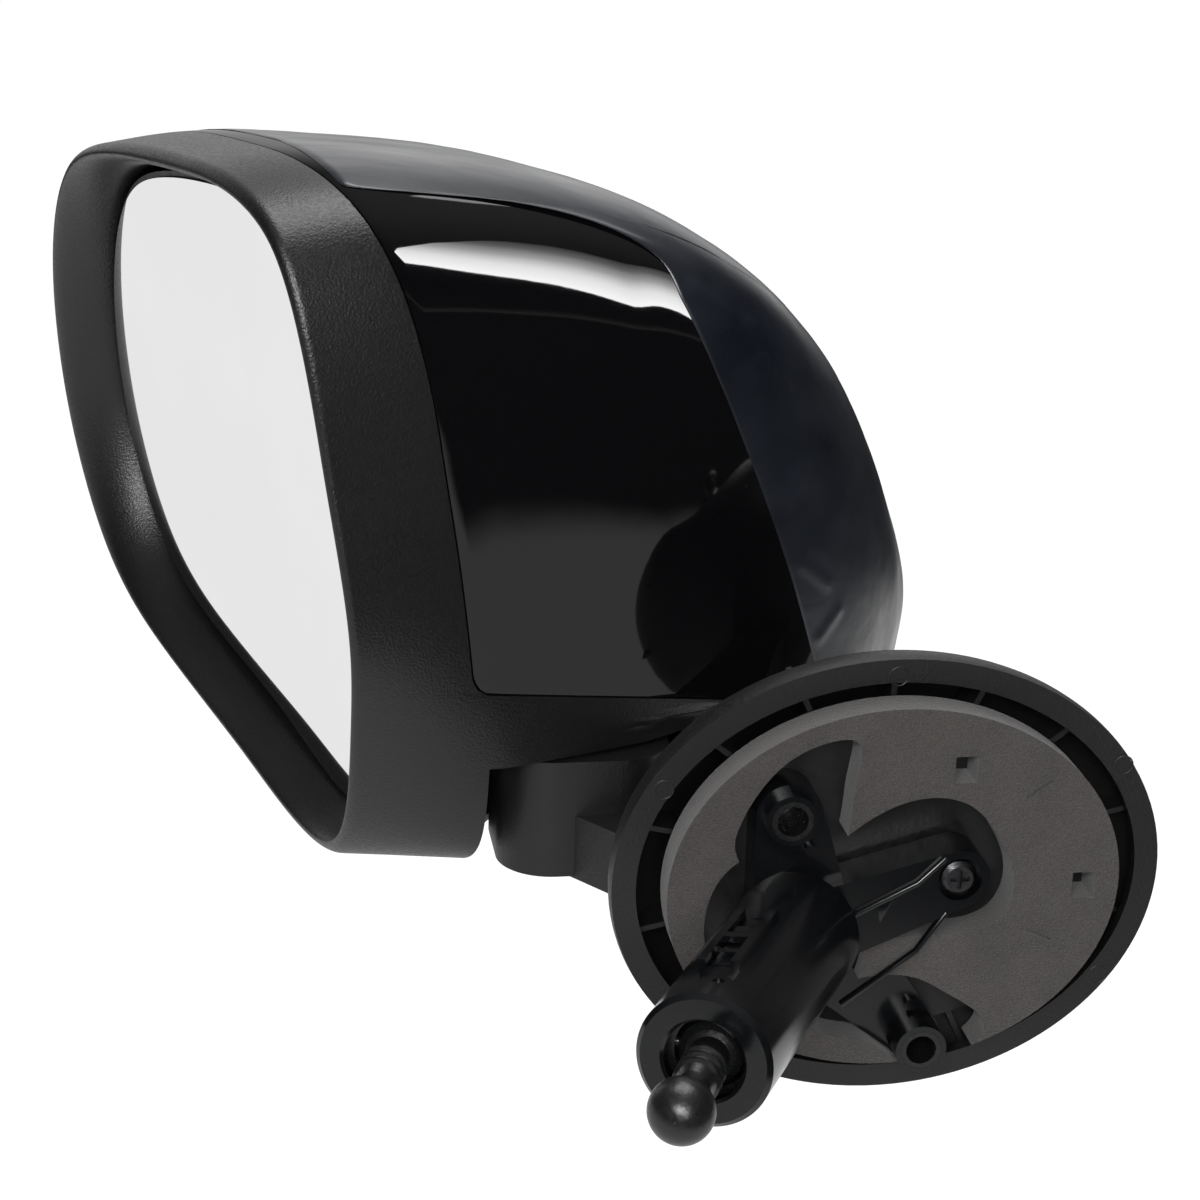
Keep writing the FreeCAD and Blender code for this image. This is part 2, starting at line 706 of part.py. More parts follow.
def make_bracket_screw():
    y, z = SCREW_SPOT
    seat = size("bossTop") - 2.5
    outline = [
        ("0", "0"), ("Sizes.screwShank", "0"), ("Sizes.screwShank", "14"),
        ("Sizes.screwHead", "14"), ("Sizes.screwHead", "15.6"), ("Sizes.screwHead - 1", "16.4"), ("0", "16.4"),
    ]
    screw = turned_body("bracket_screw", outline, along((seat - 14, y, z), (1, 0, 0)))
    cross = screw.newObject("Sketcher::SketchObject", "bracket_screw_cross")
    cross.AttachmentSupport = [(origin_plane(screw, "XY_Plane"), "")]
    cross.MapMode = "FlatFace"
    cross.AttachmentOffset = at(0, 0, 16.4)
    long = 2.1
    short = 0.5
    corners = [(long, short), (short, short), (short, long), (-short, long), (-short, short), (-long, short),
               (-long, -short), (-short, -short), (-short, -long), (short, -long), (short, -short), (long, -short)]
    for number, corner in enumerate(corners):
        following = corners[(number + 1) % len(corners)]
        cross.addGeometry(Part.LineSegment(Vector(*corner, 0), Vector(*following, 0)))
    doc.recompute()
    recess = screw.newObject("PartDesign::Pocket", "bracket_screw_recess")
    recess.Profile = cross
    recess.Length = 1.3
    doc.recompute()


def make_cover_screws():
    front = -size("plateFront")
    screws = []
    for y, z in COVER_SCREWS:
        shank = Part.makeCylinder(1.5, 13, Vector(front - 15, y, z), Vector(1, 0, 0))
        head = Part.makeCylinder(3.1, 2, Vector(front - 2.1, y, z), Vector(1, 0, 0))
        cross = Part.makeBox(1.2, 3.4, 0.8, Vector(front - 1.1, y - 1.7, z - 0.4))
        cross = cross.fuse(Part.makeBox(1.2, 0.8, 3.4, Vector(front - 1.1, y - 0.4, z - 1.7)))
        screws.append(shank.fuse(head).cut(cross).removeSplitter())
    keep_shape("cover_screws", Part.makeCompound(screws))


# Lever inside the sleeve.


def make_sleeve_collar():
    low = "Sizes.mouthAbove - Sizes.collarThick"
    outline = [
        ("Sizes.collarBore", low), ("Sizes.sleeveOuter", low), ("Sizes.sleeveOuter", "Sizes.mouthAbove - 1"),
        ("Sizes.sleeveOuter - 1", "Sizes.mouthAbove"), ("Sizes.collarBore + 0.6", "Sizes.mouthAbove"),
        ("Sizes.collarBore", "Sizes.mouthAbove - 0.6"),
    ]
    turned_body("sleeve_collar", outline, sleeve_frame())


def make_swivel_ring():
    low = at(0, 0, -size("swivelHalf"))
    ring = cylinder("swivel_blank", "Sizes.swivelOuter", "2 * Sizes.swivelHalf", low)
    hole = cylinder("swivel_hole", "Sizes.swivelInner", "2 * Sizes.swivelHalf", low)
    bore = cylinder("swivel_bore", "Sizes.swivelPin + Sizes.runningFit", "40", along((0, -20, 0), (0, 1, 0)))
    pins = []
    for name, side in (("swivel_pin_a", 1), ("swivel_pin_b", -1)):
        start = (side * (size("swivelInner") + 0.4), 0, 0)
        reach = "Sizes.sleeveOuter - Sizes.swivelInner - 1"
        pins.append(cylinder(name, "Sizes.swivelPin", reach, along(start, (side, 0, 0))))
    open_ring = cut("swivel_open", ring, hole, bore)
    keep("swivel_ring", fuse("swivel_ring", open_ring, *pins), swivel_frame())


def make_lever():
    outline = [
        ("0", "-Sizes.anchorDrop"), ("2.2", "-Sizes.anchorDrop"), ("2.2", "-5.5"), ("4.6", "-5"),
        ("6.3", "-2.6"), ("Sizes.ballRadius", "-0.4"), ("Sizes.ballRadius", "0.6"), ("6.2", "3.2"), ("4.9", "4.9"),
        ("Sizes.leverNeck", "5.6"), ("Sizes.leverNeck", "10"),
    ]
    for number in range(3):
        height = 11.0 + 3.4 * number
        outline += [("Sizes.leverNeck", str(height)), ("Sizes.ridgeRadius", str(height + 0.5)),
                    ("Sizes.ridgeRadius", str(height + 1.3)), ("Sizes.leverNeck", str(height + 1.8))]
    outline += [("Sizes.leverNeck - 0.7", "22"), ("Sizes.leverNeck - 0.7", "26"), ("2.4", "26.4"),
                ("2.4", "Sizes.leverReach"), ("0", "Sizes.leverReach")]
    stem = turned_body("lever_stem", outline)
    pins = cylinder("lever_pins", "Sizes.swivelPin", "2 * Sizes.swivelOuter - 1",
                    along((0, 0.5 - size("swivelOuter"), 0), (0, 1, 0)))
    keep("lever", fuse("lever", stem, pins), lever_frame())
    parts.pop("lever_stem")


def make_lever_knob():
    ball = doc.addObject("Part::Sphere", "knob_ball")
    bind(ball, Radius="Sizes.knobRadius")
    ball.Placement = at(0, 0, size("leverReach"))
    mouth = at(0, 0, size("leverReach") - size("knobRadius") - 1)
    socket = cylinder("knob_socket", "2.4", "Sizes.knobRadius + 1", mouth)
    keep("lever_knob", cut("lever_knob", ball, socket), lever_frame())


def make_cable_anchor():
    low = "-Sizes.anchorDrop - 2"
    outline = [("0", low), ("Sizes.anchorRadius", low)]
    outline += [("Sizes.anchorRadius", "-Sizes.anchorDrop"), ("0", "-Sizes.anchorDrop")]
    turned_body("cable_anchor", outline, lever_frame())


def make_sleeve_latch():
    outer = size("sleeveOuter")
    wide = size("latchWide") - 1.0
    low = size("latchLow")
    tongue = Part.makeBox(2.0, wide, size("latchLong") - 1, Vector(-outer + 0.2, -wide / 2, low))
    tooth = Part.makeBox(1.4, wide, 3.0, Vector(-outer - 0.9, -wide / 2, low + 7))
    second = Part.makeBox(1.4, wide, 2.0, Vector(-outer - 0.9, -wide / 2, low + 19))
    latch = tongue.fuse([tooth, second]).removeSplitter()
    turned = at(0, 0, 0, Vector(0, 0, 1), size("latchTurn"))
    keep_shape("sleeve_latch", latch, sleeve_frame().multiply(turned))


# Fold pivot on top of the knuckle.


def detent_height():
    return size("knuckleTop") + 1.0


def hub_height():
    return detent_height() + size("detentThick")


def spring_height():
    return hub_height() + size("hubTall") + 1.0


def make_fold_shaft():
    low = flange_bottom() - size("flangeThick")
    outline = [
        ("Sizes.shaftBore", "0"), ("Sizes.flangeOuter", "0"), ("Sizes.flangeOuter", "Sizes.flangeThick"),
        ("Sizes.shaftOuter", "Sizes.flangeThick"),
        ("Sizes.shaftOuter", f"Sizes.shaftTop - ({low})"), ("Sizes.shaftBore", f"Sizes.shaftTop - ({low})"),
    ]
    turned_body("fold_shaft", outline, pivot_frame(low))


def make_ring(name, inner, outer, thick, height):
    outline = [(inner, "0"), (outer, "0"), (outer, thick), (inner, thick)]
    turned_body(name, outline, pivot_frame(height))


def make_fold_spring():
    low = spring_height() + size("springWire")
    high = size("shaftTop") - size("nutThick") - size("cupThick") - size("springWire")
    pitch = (high - low) / size("springTurns")
    path = Part.makeHelix(pitch, high - low, size("springCoil"))
    start = Vector(size("springCoil"), 0, 0)
    section = Part.Wire(Part.makeCircle(size("springWire"), start, Vector(0, 1, 0)))
    coil = Part.Wire(path).makePipeShell([section], True, True)
    keep_shape("fold_spring", coil, pivot_frame(low))


def make_fold_pivot():
    inner = "Sizes.shaftOuter + Sizes.runningFit"
    make_fold_shaft()
    make_ring("detent_washer", inner, "Sizes.hubOuter", "Sizes.detentThick", detent_height())
    make_ring("spring_washer", inner, "Sizes.hubOuter", "1", spring_height() - 1.0)
    make_fold_spring()
    top = size("shaftTop") - size("nutThick")
    make_ring("spring_cup", inner, "Sizes.hubOuter", "Sizes.cupThick", top - size("cupThick"))
    make_ring("shaft_nut", inner, "Sizes.hubOuter - 2", "Sizes.nutThick", top)


# Head: bezel, cap and inner frame.


def make_shells():
    wall = size("shellWall")
    outer = head_loft(0.0, 0.0)
    inner = head_loft(wall, wall + 1.0)
    skin = outer.cut(inner)
    clearance = fold_clearance()
    clearance.Placement = rim_frame().inverse().multiply(clearance.Placement)
    cap = skin.common(cap_region(size("seamGap"))).cut(clearance)
    opening = opening_prism(0.0, -wall - 6, 2.0)
    back = opening_prism(1.8, -size("returnDepth"), -wall).common(outer)
    back = back.cut(opening_prism(0.0, -size("returnDepth") - 1, 0))
    deep = size("carrierDeep")
    posts = []
    for x, y in bezel_posts():
        post = Part.makeCylinder(size("bezelPost"), deep - wall, Vector(x, y, -deep))
        hole = Part.makeCylinder(size("postScrew") - 0.1, 12, Vector(x, y, -deep - 1))
        posts.append(post.cut(hole).common(outer))
    bezel = skin.cut(cap_region(0.0)).cut(opening).fuse([back] + posts).cut(clearance)
    keep_shape("bezel", largest_solid(bezel), rim_frame())
    keep_shape("cap", largest_solid(cap), rim_frame())


def largest_solid(shape):
    return max(shape.Solids, key=lambda solid: solid.Volume)


def bezel_posts():
    return [(-90.2, 8.0), (-20.0, -73.2), (45.0, -83.5)]


def make_head_carrier():
    deep = size("carrierDeep")
    thick = size("carrierThick")
    plate = Part.makeCylinder(size("carrierDisc"), thick, Vector(0, 0, -deep - thick))
    pieces = []
    for x, y in bezel_posts():
        reach = math.hypot(x, y)
        wide = size("carrierArm")
        arm = Part.makeBox(reach, wide, thick, Vector(0, -wide / 2, -deep - thick))
        arm.rotate(Vector(0, 0, 0), Vector(0, 0, 1), math.degrees(math.atan2(y, x)))
        pad = Part.makeCylinder(size("bezelPost") + 1.5, thick, Vector(x, y, -deep - thick))
        pieces += [arm, pad]
    wide = size("hubTall") - 1
    hub_arm = Part.makeBox(104, wide, thick, Vector(-8, -wide / 2, -deep - thick))
    hub_arm.rotate(Vector(0, 0, 0), Vector(0, 0, 1), math.degrees(math.atan2(-44.0, 81.0)))
    pieces.append(hub_arm)
    post = Part.makeCylinder(size("postOuter") + 5, 3, Vector(0, 0, -deep))
    plate = plate.fuse(pieces + [post])
    for x, y in bezel_posts():
        plate = plate.cut(Part.makeCylinder(size("postScrew") + 0.2, 20, Vector(x, y, -deep - 10)))
    plate.Placement = rim_frame()
    for number in range(3):
        hole = Part.makeCylinder(4.0, 30, Vector(*nipple_spot(number), -size("carrierDeep") + 5))
        hole.Placement = glass_frame()
        plate = plate.cut(hole)
    hub = Part.makeCylinder(size("hubOuter"), size("hubTall"), Vector(0, 0, hub_height()))
    hub.Placement = pivot_frame()
    beam = Part.makeBox(34, 44, size("hubTall") - 1, Vector(-112, -66, hub_height()))
    beam.Placement = head_frame()
    limit = Part.makeBox(140, 200, 200, Vector(-40, -100, -size("carrierDeep") - 200))
    limit.Placement = rim_frame()
    beam = beam.common(limit)
    inside = head_loft(size("shellWall") + 1.0, size("shellWall") + 1.0)
    inside.Placement = rim_frame()
    body = plate.fuse([hub, beam]).common(inside)
    bore = Part.makeCylinder(size("shaftOuter") + size("runningFit"), 60, Vector(0, 0, -5))
    bore.Placement = pivot_frame()
    body = body.cut(bore)
    keep_shape("head_carrier", largest_solid(body.removeSplitter()))


def nipple_spot(number):
    angle = math.radians(90 + 120 * number + 60)
    return size("nippleRing") * math.cos(angle), size("nippleRing") * math.sin(angle)


def make_carrier_screws():
    deep = size("carrierDeep") + size("carrierThick")
    screws = []
    for x, y in bezel_posts():
        shank = Part.makeCylinder(size("postScrew") - 0.15, 12, Vector(x, y, -deep))
        head = Part.makeCylinder(3.0, 2.2, Vector(x, y, -deep - 2.2))
        screws.append(shank.fuse(head).removeSplitter())
    keep_shape("carrier_screws", Part.makeCompound(screws), rim_frame())


# Glass, holder and gimbal, in the glass frame.


def make_pivot_post():
    foot = f"{size('carrierDeep') - size('glassDeep') - 3.0}"
    post = cylinder("post_blank", "Sizes.postOuter", f"{foot} + Sizes.postAbove", at(0, 0, -float(foot)))
    bore = cylinder("post_bore", "Sizes.gimbalPin + 0.03", "60", along((0, -30, 0), (0, 1, 0)))
    keep("pivot_post", cut("pivot_post", post, bore), glass_frame())


def make_gimbal_ring():
    low = at(0, 0, -size("gimbalHalf"))
    ring = cylinder("gimbal_blank", "Sizes.gimbalOuter", "2 * Sizes.gimbalHalf", low)
    hole = cylinder("gimbal_hole", "Sizes.gimbalInner", "2 * Sizes.gimbalHalf", low)
    across = cylinder("gimbal_bore_x", "Sizes.gimbalPin + 0.03", "60", along((-30, 0, 0), (1, 0, 0)))
    loose = "Sizes.gimbalPin + Sizes.runningFit"
    upright = cylinder("gimbal_bore_y", loose, "60", along((0, -30, 0), (0, 1, 0)))
    keep("gimbal_ring", cut("gimbal_ring", ring, hole, across, upright), glass_frame())


def make_gimbal_pins():
    length = "Sizes.gimbalOuter - 4"
    yaw = []
    pitch = []
    for side in (1, -1):
        label = "a" if side > 0 else "b"
        outward = along((0, side * 4, 0), (0, side, 0))
        yaw.append(cylinder("yaw_pin_" + label, "Sizes.gimbalPin", length, outward))
        start = (side * (size("gimbalInner") + 0.5), 0, 0)
        reach = "Sizes.gimbalOuter - Sizes.gimbalInner + Sizes.earGap + Sizes.earThick - 0.5"
        pitch.append(cylinder("pitch_pin_" + label, "Sizes.gimbalPin", reach, along(start, (side, 0, 0))))
    keep("yaw_pins", fuse("yaw_pins", *yaw), glass_frame())
    keep("pitch_pins", fuse("pitch_pins", *pitch), glass_frame())


def make_glass_holder():
    lift = size("holderLift")
    thick = size("holderThick")
    gap = -size("glassGap")
    plate = opening_prism(gap, lift, lift + thick)
    edge = opening_prism(gap, lift + thick, lift + thick + 1.2)
    edge = edge.cut(opening_prism(gap - 1.3, lift, lift + thick + 2))
    inner = size("gimbalOuter") + size("earGap")
    pieces = [edge]
    for side in (1, -1):
        x = inner if side > 0 else -inner - size("earThick")
        ear = Part.makeBox(size("earThick"), 12, lift + 3.5, Vector(x, -6, -3.5))
        pieces.append(ear)
    rib = Part.makeCylinder(size("nippleRing") + 8, 2.0, Vector(0, 0, lift - 2)).cut(
        Part.makeCylinder(size("nippleRing") + 6, 4.0, Vector(0, 0, lift - 3)))
    pieces.append(rib)
    holder = plate.fuse(pieces)
    bore = Part.makeCylinder(size("gimbalPin") + size("runningFit"), 80, Vector(-40, 0, 0), Vector(1, 0, 0))
    keep_shape("glass_holder", holder.cut(bore).removeSplitter(), glass_frame())


def make_mirror_glass():
    low = size("holderLift") + size("holderThick")
    glass = opening_prism(-size("glassGap") - 1.5, low, low + size("glassThick"))
    keep_shape("mirror_glass", glass, glass_frame())


def make_cable_nipples():
    lift = size("holderLift")
    nipples = []
    for number in range(3):
        x, y = nipple_spot(number)
        head = Part.makeCylinder(size("nippleOuter"), 4, Vector(x, y, lift - 4))
        wire = Part.makeCylinder(0.6, 16, Vector(x, y, lift - 20))
        nipples.append(head.fuse(wire).removeSplitter())
    keep_shape("cable_nipples", Part.makeCompound(nipples), glass_frame())


# Control cables: a sheath from the sleeve to the shaft, three cables from there to the glass.


def cable_path(points, bends):
    """Straight runs joined by tangent arcs of the given radii."""
    vectors = [Vector(*point) for point in points]
    edges = []
    last = vectors[0]
    for before, corner, after, radius in zip(vectors, vectors[1:], vectors[2:], bends):
        back = (before - corner).normalize()
        ahead = (after - corner).normalize()
        half_turn = (math.pi - back.getAngle(ahead)) / 2
        reach = radius * math.tan(half_turn)
        start = corner + back * reach
        end = corner + ahead * reach
        inwards = (back + ahead).normalize()
        middle = corner + inwards * (radius / math.cos(half_turn) - radius)
        edges.append(Part.LineSegment(last, start).toShape())
        edges.append(Part.Arc(start, middle, end).toShape())
        last = end
    edges.append(Part.LineSegment(last, vectors[-1]).toShape())
    return Part.Wire(edges)


def cable_tube(points, bends, radius):
    path = cable_path(points, bends)
    heading = Vector(*points[1]) - Vector(*points[0])
    section = Part.Wire(Part.makeCircle(radius, Vector(*points[0]), heading))
    return path.makePipeShell([section], True, False)


def sheath_tube(radius):
    """Tube along the sheath's route: out of the sleeve, under the neck and up the fold shaft."""
    x, y = size("pivotInboard"), size("pivotForward")
    start = sleeve_frame().multVec(Vector(0, 0, -size("sleeveChamber") - 4))
    exit_point = sleeve_frame().multVec(Vector(0, 0, -66))
    groove = size("neckBottom") + 5.2
    turn = math.radians(neck_angle())
    entry = (x + 52 * math.cos(turn), y + 52 * math.sin(turn), groove)
    low = (x, y, groove)
    top = (x, y, size("shaftTop") + 3)
    route = [tuple(start), tuple(exit_point), entry, low, top]
    return cable_tube(route, [20.0, 20.0, 11.0], radius)


def make_control_cables():
    x, y = size("pivotInboard"), size("pivotForward")
    keep_shape("cable_sheath", sheath_tube(size("sheathRadius")))
    cables = []
    rear = size("carrierDeep") - size("glassDeep") + size("carrierThick")
    for number in range(3):
        angle = math.radians(120 * number + 30)
        x0 = x + 1.9 * math.cos(angle)
        y0 = y + 1.9 * math.sin(angle)
        spot = nipple_spot(number)
        end = glass_frame().multVec(Vector(*spot, -rear - 2))
        turn_point = glass_frame().multVec(Vector(*spot, -rear - 34 + 6 * number))
        rise = size("shaftTop") + 30 - 4 * number
        run = [(x0, y0, size("shaftTop") + 3.5), (x0, y0, rise), tuple(turn_point), tuple(end)]
        cables.append(cable_tube(run, [14.0, 14.0], size("cableRadius")))
    keep_shape("glass_cables", Part.makeCompound(cables))


def make_cable_guide():
    rear = size("carrierDeep") - size("glassDeep") + size("carrierThick")
    ring = Part.makeCylinder(size("nippleRing") + 6, 2, Vector(0, 0, -rear - 3)).cut(
        Part.makeCylinder(size("nippleRing") - 6, 4, Vector(0, 0, -rear - 4)))
    for number in range(3):
        x, y = nipple_spot(number)
        ring = ring.cut(Part.makeCylinder(size("cableRadius") + 0.3, 10, Vector(x, y, -rear - 8)))
    keep_shape("cable_guide", ring, glass_frame())


def check_document():
    doc.recompute()
    for item in doc.Objects:
        if "Invalid" in item.State or "Error" in item.State:
            raise RuntimeError(f"{item.Name} did not recompute")
    for name, item in parts.items():
        if item.Shape.isNull() or not item.Shape.isValid() or not item.Shape.Solids:
            raise RuntimeError(f"{name} has no valid solid")


def export_parts():
    os.makedirs("parts", exist_ok=True)
    for name, item in parts.items():
        item.Shape.exportStep(f"parts/{name}.step")
        box = item.Shape.BoundBox
        print(f"{name}: {len(item.Shape.Solids)} solids, {item.Shape.Volume:.0f} mm3,"
              f" X {box.XMin:.1f} {box.XMax:.1f}, Y {box.YMin:.1f} {box.YMax:.1f}, Z {box.ZMin:.1f} {box.ZMax:.1f}")


fill_sheet()
make_foot_cover()
make_foot_base()
make_foam_gasket()
make_lever_bracket()
make_boss_inserts()
make_bracket_screw()
make_cover_screws()
make_sleeve_collar()
make_swivel_ring()
make_lever()
make_lever_knob()
make_cable_anchor()
make_sleeve_latch()
make_fold_pivot()
make_shells()
make_head_carrier()
make_carrier_screws()
make_pivot_post()
make_gimbal_ring()
make_gimbal_pins()
make_glass_holder()
make_mirror_glass()
make_cable_nipples()
make_control_cables()
make_cable_guide()
check_document()
export_parts()
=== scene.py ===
import bmesh
import bpy
import json
import math
import numpy as np
from mathutils import Matrix, Vector, noise


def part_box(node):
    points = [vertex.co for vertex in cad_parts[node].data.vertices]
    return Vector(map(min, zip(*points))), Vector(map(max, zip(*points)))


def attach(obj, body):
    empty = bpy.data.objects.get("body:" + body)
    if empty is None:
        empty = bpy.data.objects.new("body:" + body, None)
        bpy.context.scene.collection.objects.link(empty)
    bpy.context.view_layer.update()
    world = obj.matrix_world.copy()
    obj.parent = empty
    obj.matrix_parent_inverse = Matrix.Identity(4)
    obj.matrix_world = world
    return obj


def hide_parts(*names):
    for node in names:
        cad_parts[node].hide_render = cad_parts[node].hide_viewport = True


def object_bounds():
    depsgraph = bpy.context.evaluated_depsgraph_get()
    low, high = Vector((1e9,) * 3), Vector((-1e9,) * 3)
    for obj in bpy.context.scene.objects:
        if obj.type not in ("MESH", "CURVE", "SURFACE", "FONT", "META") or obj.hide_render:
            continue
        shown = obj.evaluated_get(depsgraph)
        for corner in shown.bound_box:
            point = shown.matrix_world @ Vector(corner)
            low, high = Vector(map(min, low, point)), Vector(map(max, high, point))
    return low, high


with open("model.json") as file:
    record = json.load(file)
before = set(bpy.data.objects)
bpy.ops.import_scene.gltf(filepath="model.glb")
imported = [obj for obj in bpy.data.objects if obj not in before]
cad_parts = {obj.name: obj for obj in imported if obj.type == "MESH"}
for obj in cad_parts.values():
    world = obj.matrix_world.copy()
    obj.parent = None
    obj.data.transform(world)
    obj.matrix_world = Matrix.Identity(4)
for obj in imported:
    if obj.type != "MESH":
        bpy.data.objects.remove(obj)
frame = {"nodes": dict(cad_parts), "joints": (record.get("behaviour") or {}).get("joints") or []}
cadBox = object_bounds()
nodes = frame["nodes"]
joints = {joint["name"]: joint for joint in frame["joints"]}
mm = 0.001
print("frame loaded")


# The rim's own frame: x inboard, y up it, z rearwards out of it

glassDeep = 22.5
glassCentre = Vector(joints["glass_yaw"]["pos_m"])
rimUp = Vector(joints["glass_yaw"]["axis"])
rimIn = -Vector(joints["glass_pitch"]["axis"])
rimOut = rimIn.cross(rimUp)
rimFrame = Matrix((rimIn, rimUp, rimOut)).transposed().to_4x4()
rimFrame.translation = glassCentre + rimOut * glassDeep * mm


# Shader building

class Link:
    # a socket that takes part in sums
    def __init__(self, paint, socket):
        self.paint = paint
        self.socket = socket

    def sum(self, operation, first, second):
        return self.paint.node("Math", {"operation": operation}, {0: first, 1: second})

    def __add__(self, other):
        return self.sum("ADD", self, other)

    def __radd__(self, other):
        return self.sum("ADD", other, self)

    def __sub__(self, other):
        return self.sum("SUBTRACT", self, other)

    def __rsub__(self, other):
        return self.sum("SUBTRACT", other, self)

    def __mul__(self, other):
        return self.sum("MULTIPLY", self, other)

    def __rmul__(self, other):
        return self.sum("MULTIPLY", other, self)


class Paint:
    def __init__(self, name, **constants):
        self.material = bpy.data.materials.new(name)
        self.material.use_nodes = True
        self.tree = self.material.node_tree
        self.shader = self.tree.nodes["Principled BSDF"]
        for key, value in constants.items():
            self.shader.inputs[key.replace("_", " ")].default_value = value
        self.place = self.node("TexCoord", output="Object")

    def node(self, kind, settings=None, inputs=None, output=0):
        made = self.tree.nodes.new("ShaderNode" + kind)
        for key, value in (settings or {}).items():
            if key == "stops":
                setStops(made.color_ramp, value)
            else:
                setattr(made, key, value)
        for key, value in (inputs or {}).items():
            self.feed(made.inputs[key], value)
        return Link(self, made.outputs[output])

    def feed(self, socket, value):
        if isinstance(value, Link):
            self.tree.links.new(value.socket, socket)
        else:
            socket.default_value = value

    def set(self, **values):
        for key, value in values.items():
            self.feed(self.shader.inputs[key.replace("_", " ")], value)
        return self

    def grain(self, scale, detail=2.0, stretch=(1, 1, 1)):
        place = self.place
        if stretch != (1, 1, 1):
            place = self.node("Mapping", {}, {"Vector": self.place, "Scale": stretch})
        return self.node("TexNoise", {}, {"Vector": place, "Scale": scale, "Detail": detail})

    def cells(self, scale, feature="F1"):
        inputs = {"Vector": self.place, "Scale": scale}
        return self.node("TexVoronoi", {"feature": feature}, inputs, "Distance")

    def slope(self, direction, rise):
        # height that grows evenly along a direction
        inputs = {0: self.place, 1: tuple(direction)}
        return self.node("VectorMath", {"operation": "DOT_PRODUCT"}, inputs, "Value") * rise

    def between(self, factor, low, high):
        return self.node("MapRange", {}, {"Value": factor, "From Min": 0.3, "From Max": 0.7,
                                          "To Min": low, "To Max": high})

    def blend(self, factor, first, second):
        return self.node("Mix", {"data_type": "RGBA"}, {0: factor, 6: colour(first), 7: colour(second)}, 2)

    def bump(self, height, strength, distance):
        return self.node("Bump", {}, {"Height": height, "Strength": strength, "Distance": distance})


def setStops(ramp, stops):
    for position, shade in stops[2:]:
        ramp.elements.new(position)
    for element, (position, shade) in zip(ramp.elements, stops):
        element.position = position
        element.color = colour(shade)


def colour(value):
    if isinstance(value, Link):
        return value
    if isinstance(value, (int, float)):
        return (value, value, value, 1)
    return (*value, 1)


def dress(obj, paint):
    obj.data.materials.clear()
    obj.data.materials.append(paint.material)
    return obj


# Finishes

def mouldedPlastic(name, shade, rough, grainSize, depth, sparkle=0.0):
    # spark-eroded or fine-grained black plastic
    paint = Paint(name, Specular_IOR_Level=0.5 + sparkle)
    pebbles = paint.cells(1.0 / grainSize, "SMOOTH_F1")
    dust = paint.grain(0.6 / grainSize, 3.0)
    cloud = paint.grain(28.0, 3.0)
    wear = paint.blend(paint.between(cloud, 0.0, 1.0), shade, tuple(c * 1.35 for c in shade))
    paint.set(Base_Color=wear, Roughness=paint.between(dust, rough - 0.07, rough + 0.07))
    paint.set(Normal=paint.bump(pebbles + dust * 0.6, 0.55, depth))
    return paint


def glossPlastic(name, shade, rough, lean=0.0):
    paint = Paint(name, Specular_IOR_Level=0.42)
    cloud = paint.grain(14.0, 2.0)
    peel = paint.grain(150.0, 1.0)
    dust = paint.grain(1400.0, 2.0)
    paint.set(Base_Color=paint.blend(paint.between(dust, 0.0, 1.0), shade, tuple(c * 1.8 for c in shade)))
    paint.set(Roughness=paint.between(cloud, rough, rough * 1.5))
    relief = peel * 0.00001
    # a lean tips the shading rearwards, so the panel mirrors other things than its shape alone would
    if lean:
        relief = relief + paint.slope(rimOut, -lean)
    paint.set(Normal=paint.bump(relief, 1.0, 1.0))
    return paint


def filmPlastic(name):
    # hazy blue-grey protective foil
    paint = Paint(name, Specular_IOR_Level=0.5, Coat_Roughness=0.25)
    haze = paint.grain(60.0, 4.0, (1.0, 0.35, 1.0))
    creases = paint.grain(95.0, 3.0, (1.0, 0.25, 1.0))
    fine = paint.grain(420.0, 2.0)
    tone = paint.between(haze, 0.0, 1.0)
    paint.set(Base_Color=paint.blend(tone, (0.004, 0.0055, 0.009), (0.010, 0.012, 0.018)))
    paint.set(Roughness=paint.between(haze, 0.26, 0.40), Coat_Weight=paint.between(creases, 0.1, 0.4))
    paint.set(Normal=paint.bump(creases + fine * 0.12, 0.25, 0.0008))
    return paint


def foamRubber(name):
    paint = Paint(name, Specular_IOR_Level=0.35, Sheen_Weight=0.25, Sheen_Roughness=0.6)
    cells = paint.cells(2600.0)
    speck = paint.grain(2400.0, 2.0)
    patch = paint.grain(90.0, 3.0)
    tone = paint.between(speck * 0.75 + patch * 0.25, 0.0, 1.0)
    paint.set(Base_Color=paint.blend(tone, (0.013, 0.011, 0.010), (0.056, 0.050, 0.046)))
    paint.set(Roughness=paint.between(speck, 0.75, 0.95), Normal=paint.bump(cells + speck, 0.7, 0.0002))
    return paint


def mirrorSilver(name):
    paint = Paint(name, Metallic=1.0)
    haze = paint.grain(16.0, 3.0)
    paint.set(Base_Color=paint.blend(paint.between(haze, 0.0, 1.0), (0.92, 0.92, 0.92), (0.96, 0.96, 0.96)))
    paint.set(Roughness=paint.between(haze, 0.012, 0.03))
    # the glass is set a little towards the driver: only its shading leans that way, and its shape stays as
    # imported
    paint.set(Normal=paint.bump(paint.slope(rimIn, -0.09) + paint.slope(rimUp, -0.03), 1.0, 1.0))
    return paint


def platedSteel(name, shade):
    paint = Paint(name, Metallic=1.0)
    scratch = paint.grain(700.0, 3.0, (1.0, 1.0, 6.0))
    stain = paint.grain(120.0, 3.0)
    paint.set(Base_Color=paint.blend(paint.between(stain, 0.0, 1.0), shade, tuple(c * 0.7 for c in shade)))
    paint.set(Roughness=paint.between(scratch, 0.25, 0.42), Normal=paint.bump(scratch, 0.2, 0.0001))
    return paint


